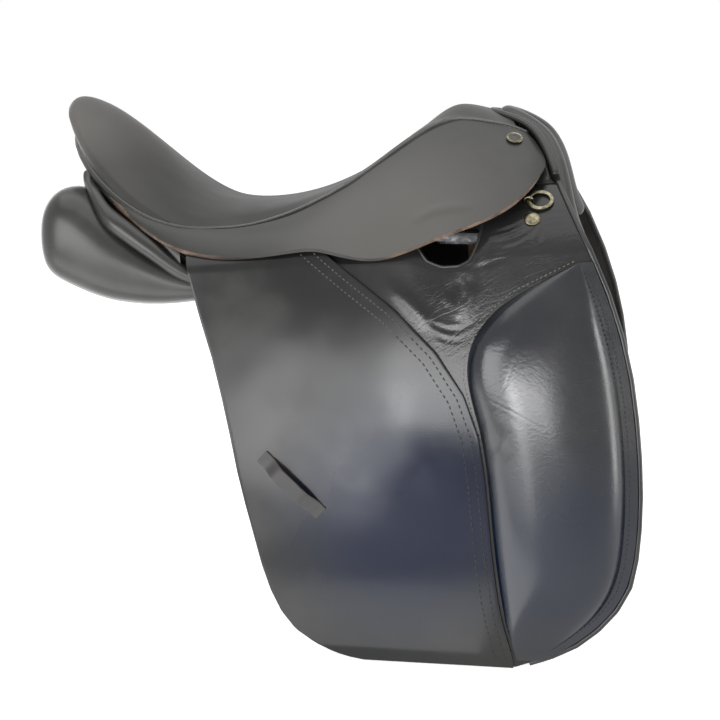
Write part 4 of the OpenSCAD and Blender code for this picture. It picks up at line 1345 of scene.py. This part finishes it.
for side in SIDES:
    for place in ("front", "rear"):
        fitting(f"{place}_strap_{side}", f"{place}_girth_strap_{side}", [strap_black], "leather", 0.7 * MM)
    leather_from(f"girth_web_{side}", f"girth_web_straps_{side}", web_canvas, levels=1, slot="canvas",
                 radius=0.3 * MM)
    fitting(f"stirrup_bar_{side}", f"stirrup_bar_steel_{side}", [nickel], "steel", 0.9 * MM)
    fitting(f"bar_catch_{side}", f"bar_catch_steel_{side}", [nickel], "steel", 0.5 * MM)
    fitting(f"dee_ring_{side}", f"dee_ring_brass_{side}", [brass], "gold", 0.5 * MM)
    fitting(f"dee_staple_{side}", f"dee_staple_brass_{side}", [brass], "gold", 0.1 * MM, flat=False)
fitting("flap_nails", "flap_nail_heads", [brass], "gold", 0.3 * MM, flat=False)
fitting("skirt_buttons", "skirt_button_discs", [brass, badge_dark], "gold", 0.25 * MM, flat=False)

# %% [markdown]
# The tree is the hidden skeleton: beech rails and head, with steel plates, springs and rivets. Its CAD
# solids already have the right shape and nobody sees them closely, so they only get their materials.

# %% Tree
TREE = {beech: ("tree_rails", "tree_head"),
        plain_steel: ("head_plate", "gullet_plate", "tree_springs", "tree_rivets")}
for material, nodes in TREE.items():
    for node in nodes:
        frame["nodes"][node].data.materials.clear()
        frame["nodes"][node].data.materials.append(material)
print("tree solids", sum(len(nodes) for nodes in TREE.values()))

# %% [markdown]
# A white studio: the floor and the world are white to the camera and to reflections. A world as bright
# as that would flood the leather with light, so other rays get only a part of it. The floor glows a
# little for the same reason: it stays white under the saddle, as in the photograph.

# %% Studio floor and world
FLOOR_HALF = 8
FLOOR_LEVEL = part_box("flap_left")[0].z - 2 * MM
FLOOR_GLOW = 0.72
FLOOR_PAINT = (0.82, 0.82, 0.82, 1)
WORLD_FILL = 0.4
WHITE = (1, 1, 1, 1)


def seen_share(tree):
    """1 for rays that show the background: camera, glossy and transmission rays."""
    path = add_node(tree, "ShaderNodeLightPath").outputs
    either = math_node(tree, "MAXIMUM", path["Is Camera Ray"], path["Is Glossy Ray"])
    return math_node(tree, "MAXIMUM", either, path["Is Transmission Ray"])


floor_white, tree, paint, _ = new_material("studio_floor")
set_inputs(paint, Base_Color=FLOOR_PAINT, Roughness=0.9, Emission_Color=WHITE)
glow = math_node(tree, "MULTIPLY", seen_share(tree), FLOOR_GLOW)
tree.links.new(glow, paint.inputs["Emission Strength"])
bm = bmesh.new()
bmesh.ops.create_grid(bm, x_segments=1, y_segments=1, size=FLOOR_HALF,
                      matrix=Matrix.Translation((0, 0, FLOOR_LEVEL)))
floor_mesh = bpy.data.meshes.new("studio_floor")
bm.to_mesh(floor_mesh)
bm.free()
floor_mesh.materials.append(floor_white)
floor = bpy.data.objects.new("studio_floor", floor_mesh)
scene.collection.objects.link(floor)

world = bpy.data.worlds.new("studio_world")
scene.world = world
world.use_nodes = True
tree = world.node_tree
sky = set_inputs(tree.nodes["Background"], Color=WHITE)
fill = math_node(tree, "MULTIPLY_ADD", seen_share(tree), 1 - WORLD_FILL, WORLD_FILL)
tree.links.new(fill, sky.inputs["Strength"])
print("floor at", round(FLOOR_LEVEL, 4))

# %% [markdown]
# Polished leather shows mostly what it mirrors, so each lamp has the place and the size of one of the
# pale patches that the photograph shows on flap, pad and panel. The ceiling light makes the soft overall
# shading. The near side, which the photograph doesn't show, gets the same lamps at a part of the power.

# %% Lamps
NEAR_SIDE_SHARE = 0.3


def softbox(name, place, aim, size, power, roll=0.0):
    data = bpy.data.lights.new(name, "AREA")
    data.shape = "RECTANGLE"
    data.size, data.size_y = size
    data.energy = power
    made = bpy.data.objects.new(name, data)
    made.location = place
    facing = (Vector(place) - Vector(aim)).to_track_quat("Z", "Y")
    made.rotation_euler = (facing @ Quaternion((0, 0, 1), roll)).to_euler()
    made.visible_camera = False
    scene.collection.objects.link(made)


softbox("ceiling_light", place=(-0.2, -0.15, 1.9), aim=(-0.2, -0.15, 0), size=(3.0, 2.1), power=31)
for sign, share in ((-1, 1.0), (1, NEAR_SIDE_SHARE)):
    softbox("slanted_box", place=(-0.235, sign * 1.25, -0.155), aim=(-0.15, 0, -0.155), size=(0.29, 0.27),
            power=2.4 * share, roll=radians(16) * sign)
    softbox("near_box", place=(0.09, sign * 0.55, -0.0775), aim=(0.09, 0, -0.0775), size=(0.2, 0.115),
            power=0.75 * share)
    softbox("rear_window", place=(-1.0, sign * 1.3, 0.01), aim=(0.14, sign * 0.18, -0.06), size=(1.0, 0.9),
            power=18 * share)
    softbox("front_window", place=(1.6, sign * 0.33, 0.0), aim=(0.2, sign * 0.1, -0.1), size=(0.35, 1.0),
            power=10 * share)
    softbox("floor_light", place=(-0.37, sign * 0.35, FLOOR_LEVEL + 0.01), aim=(-0.37, sign * 0.35, 1),
            size=(1.0, 0.3), power=1.9 * share)

# %% [markdown]
# Last, the colours are shown through the Standard view transform.

# %% Colour view
scene.view_settings.view_transform = "Standard"
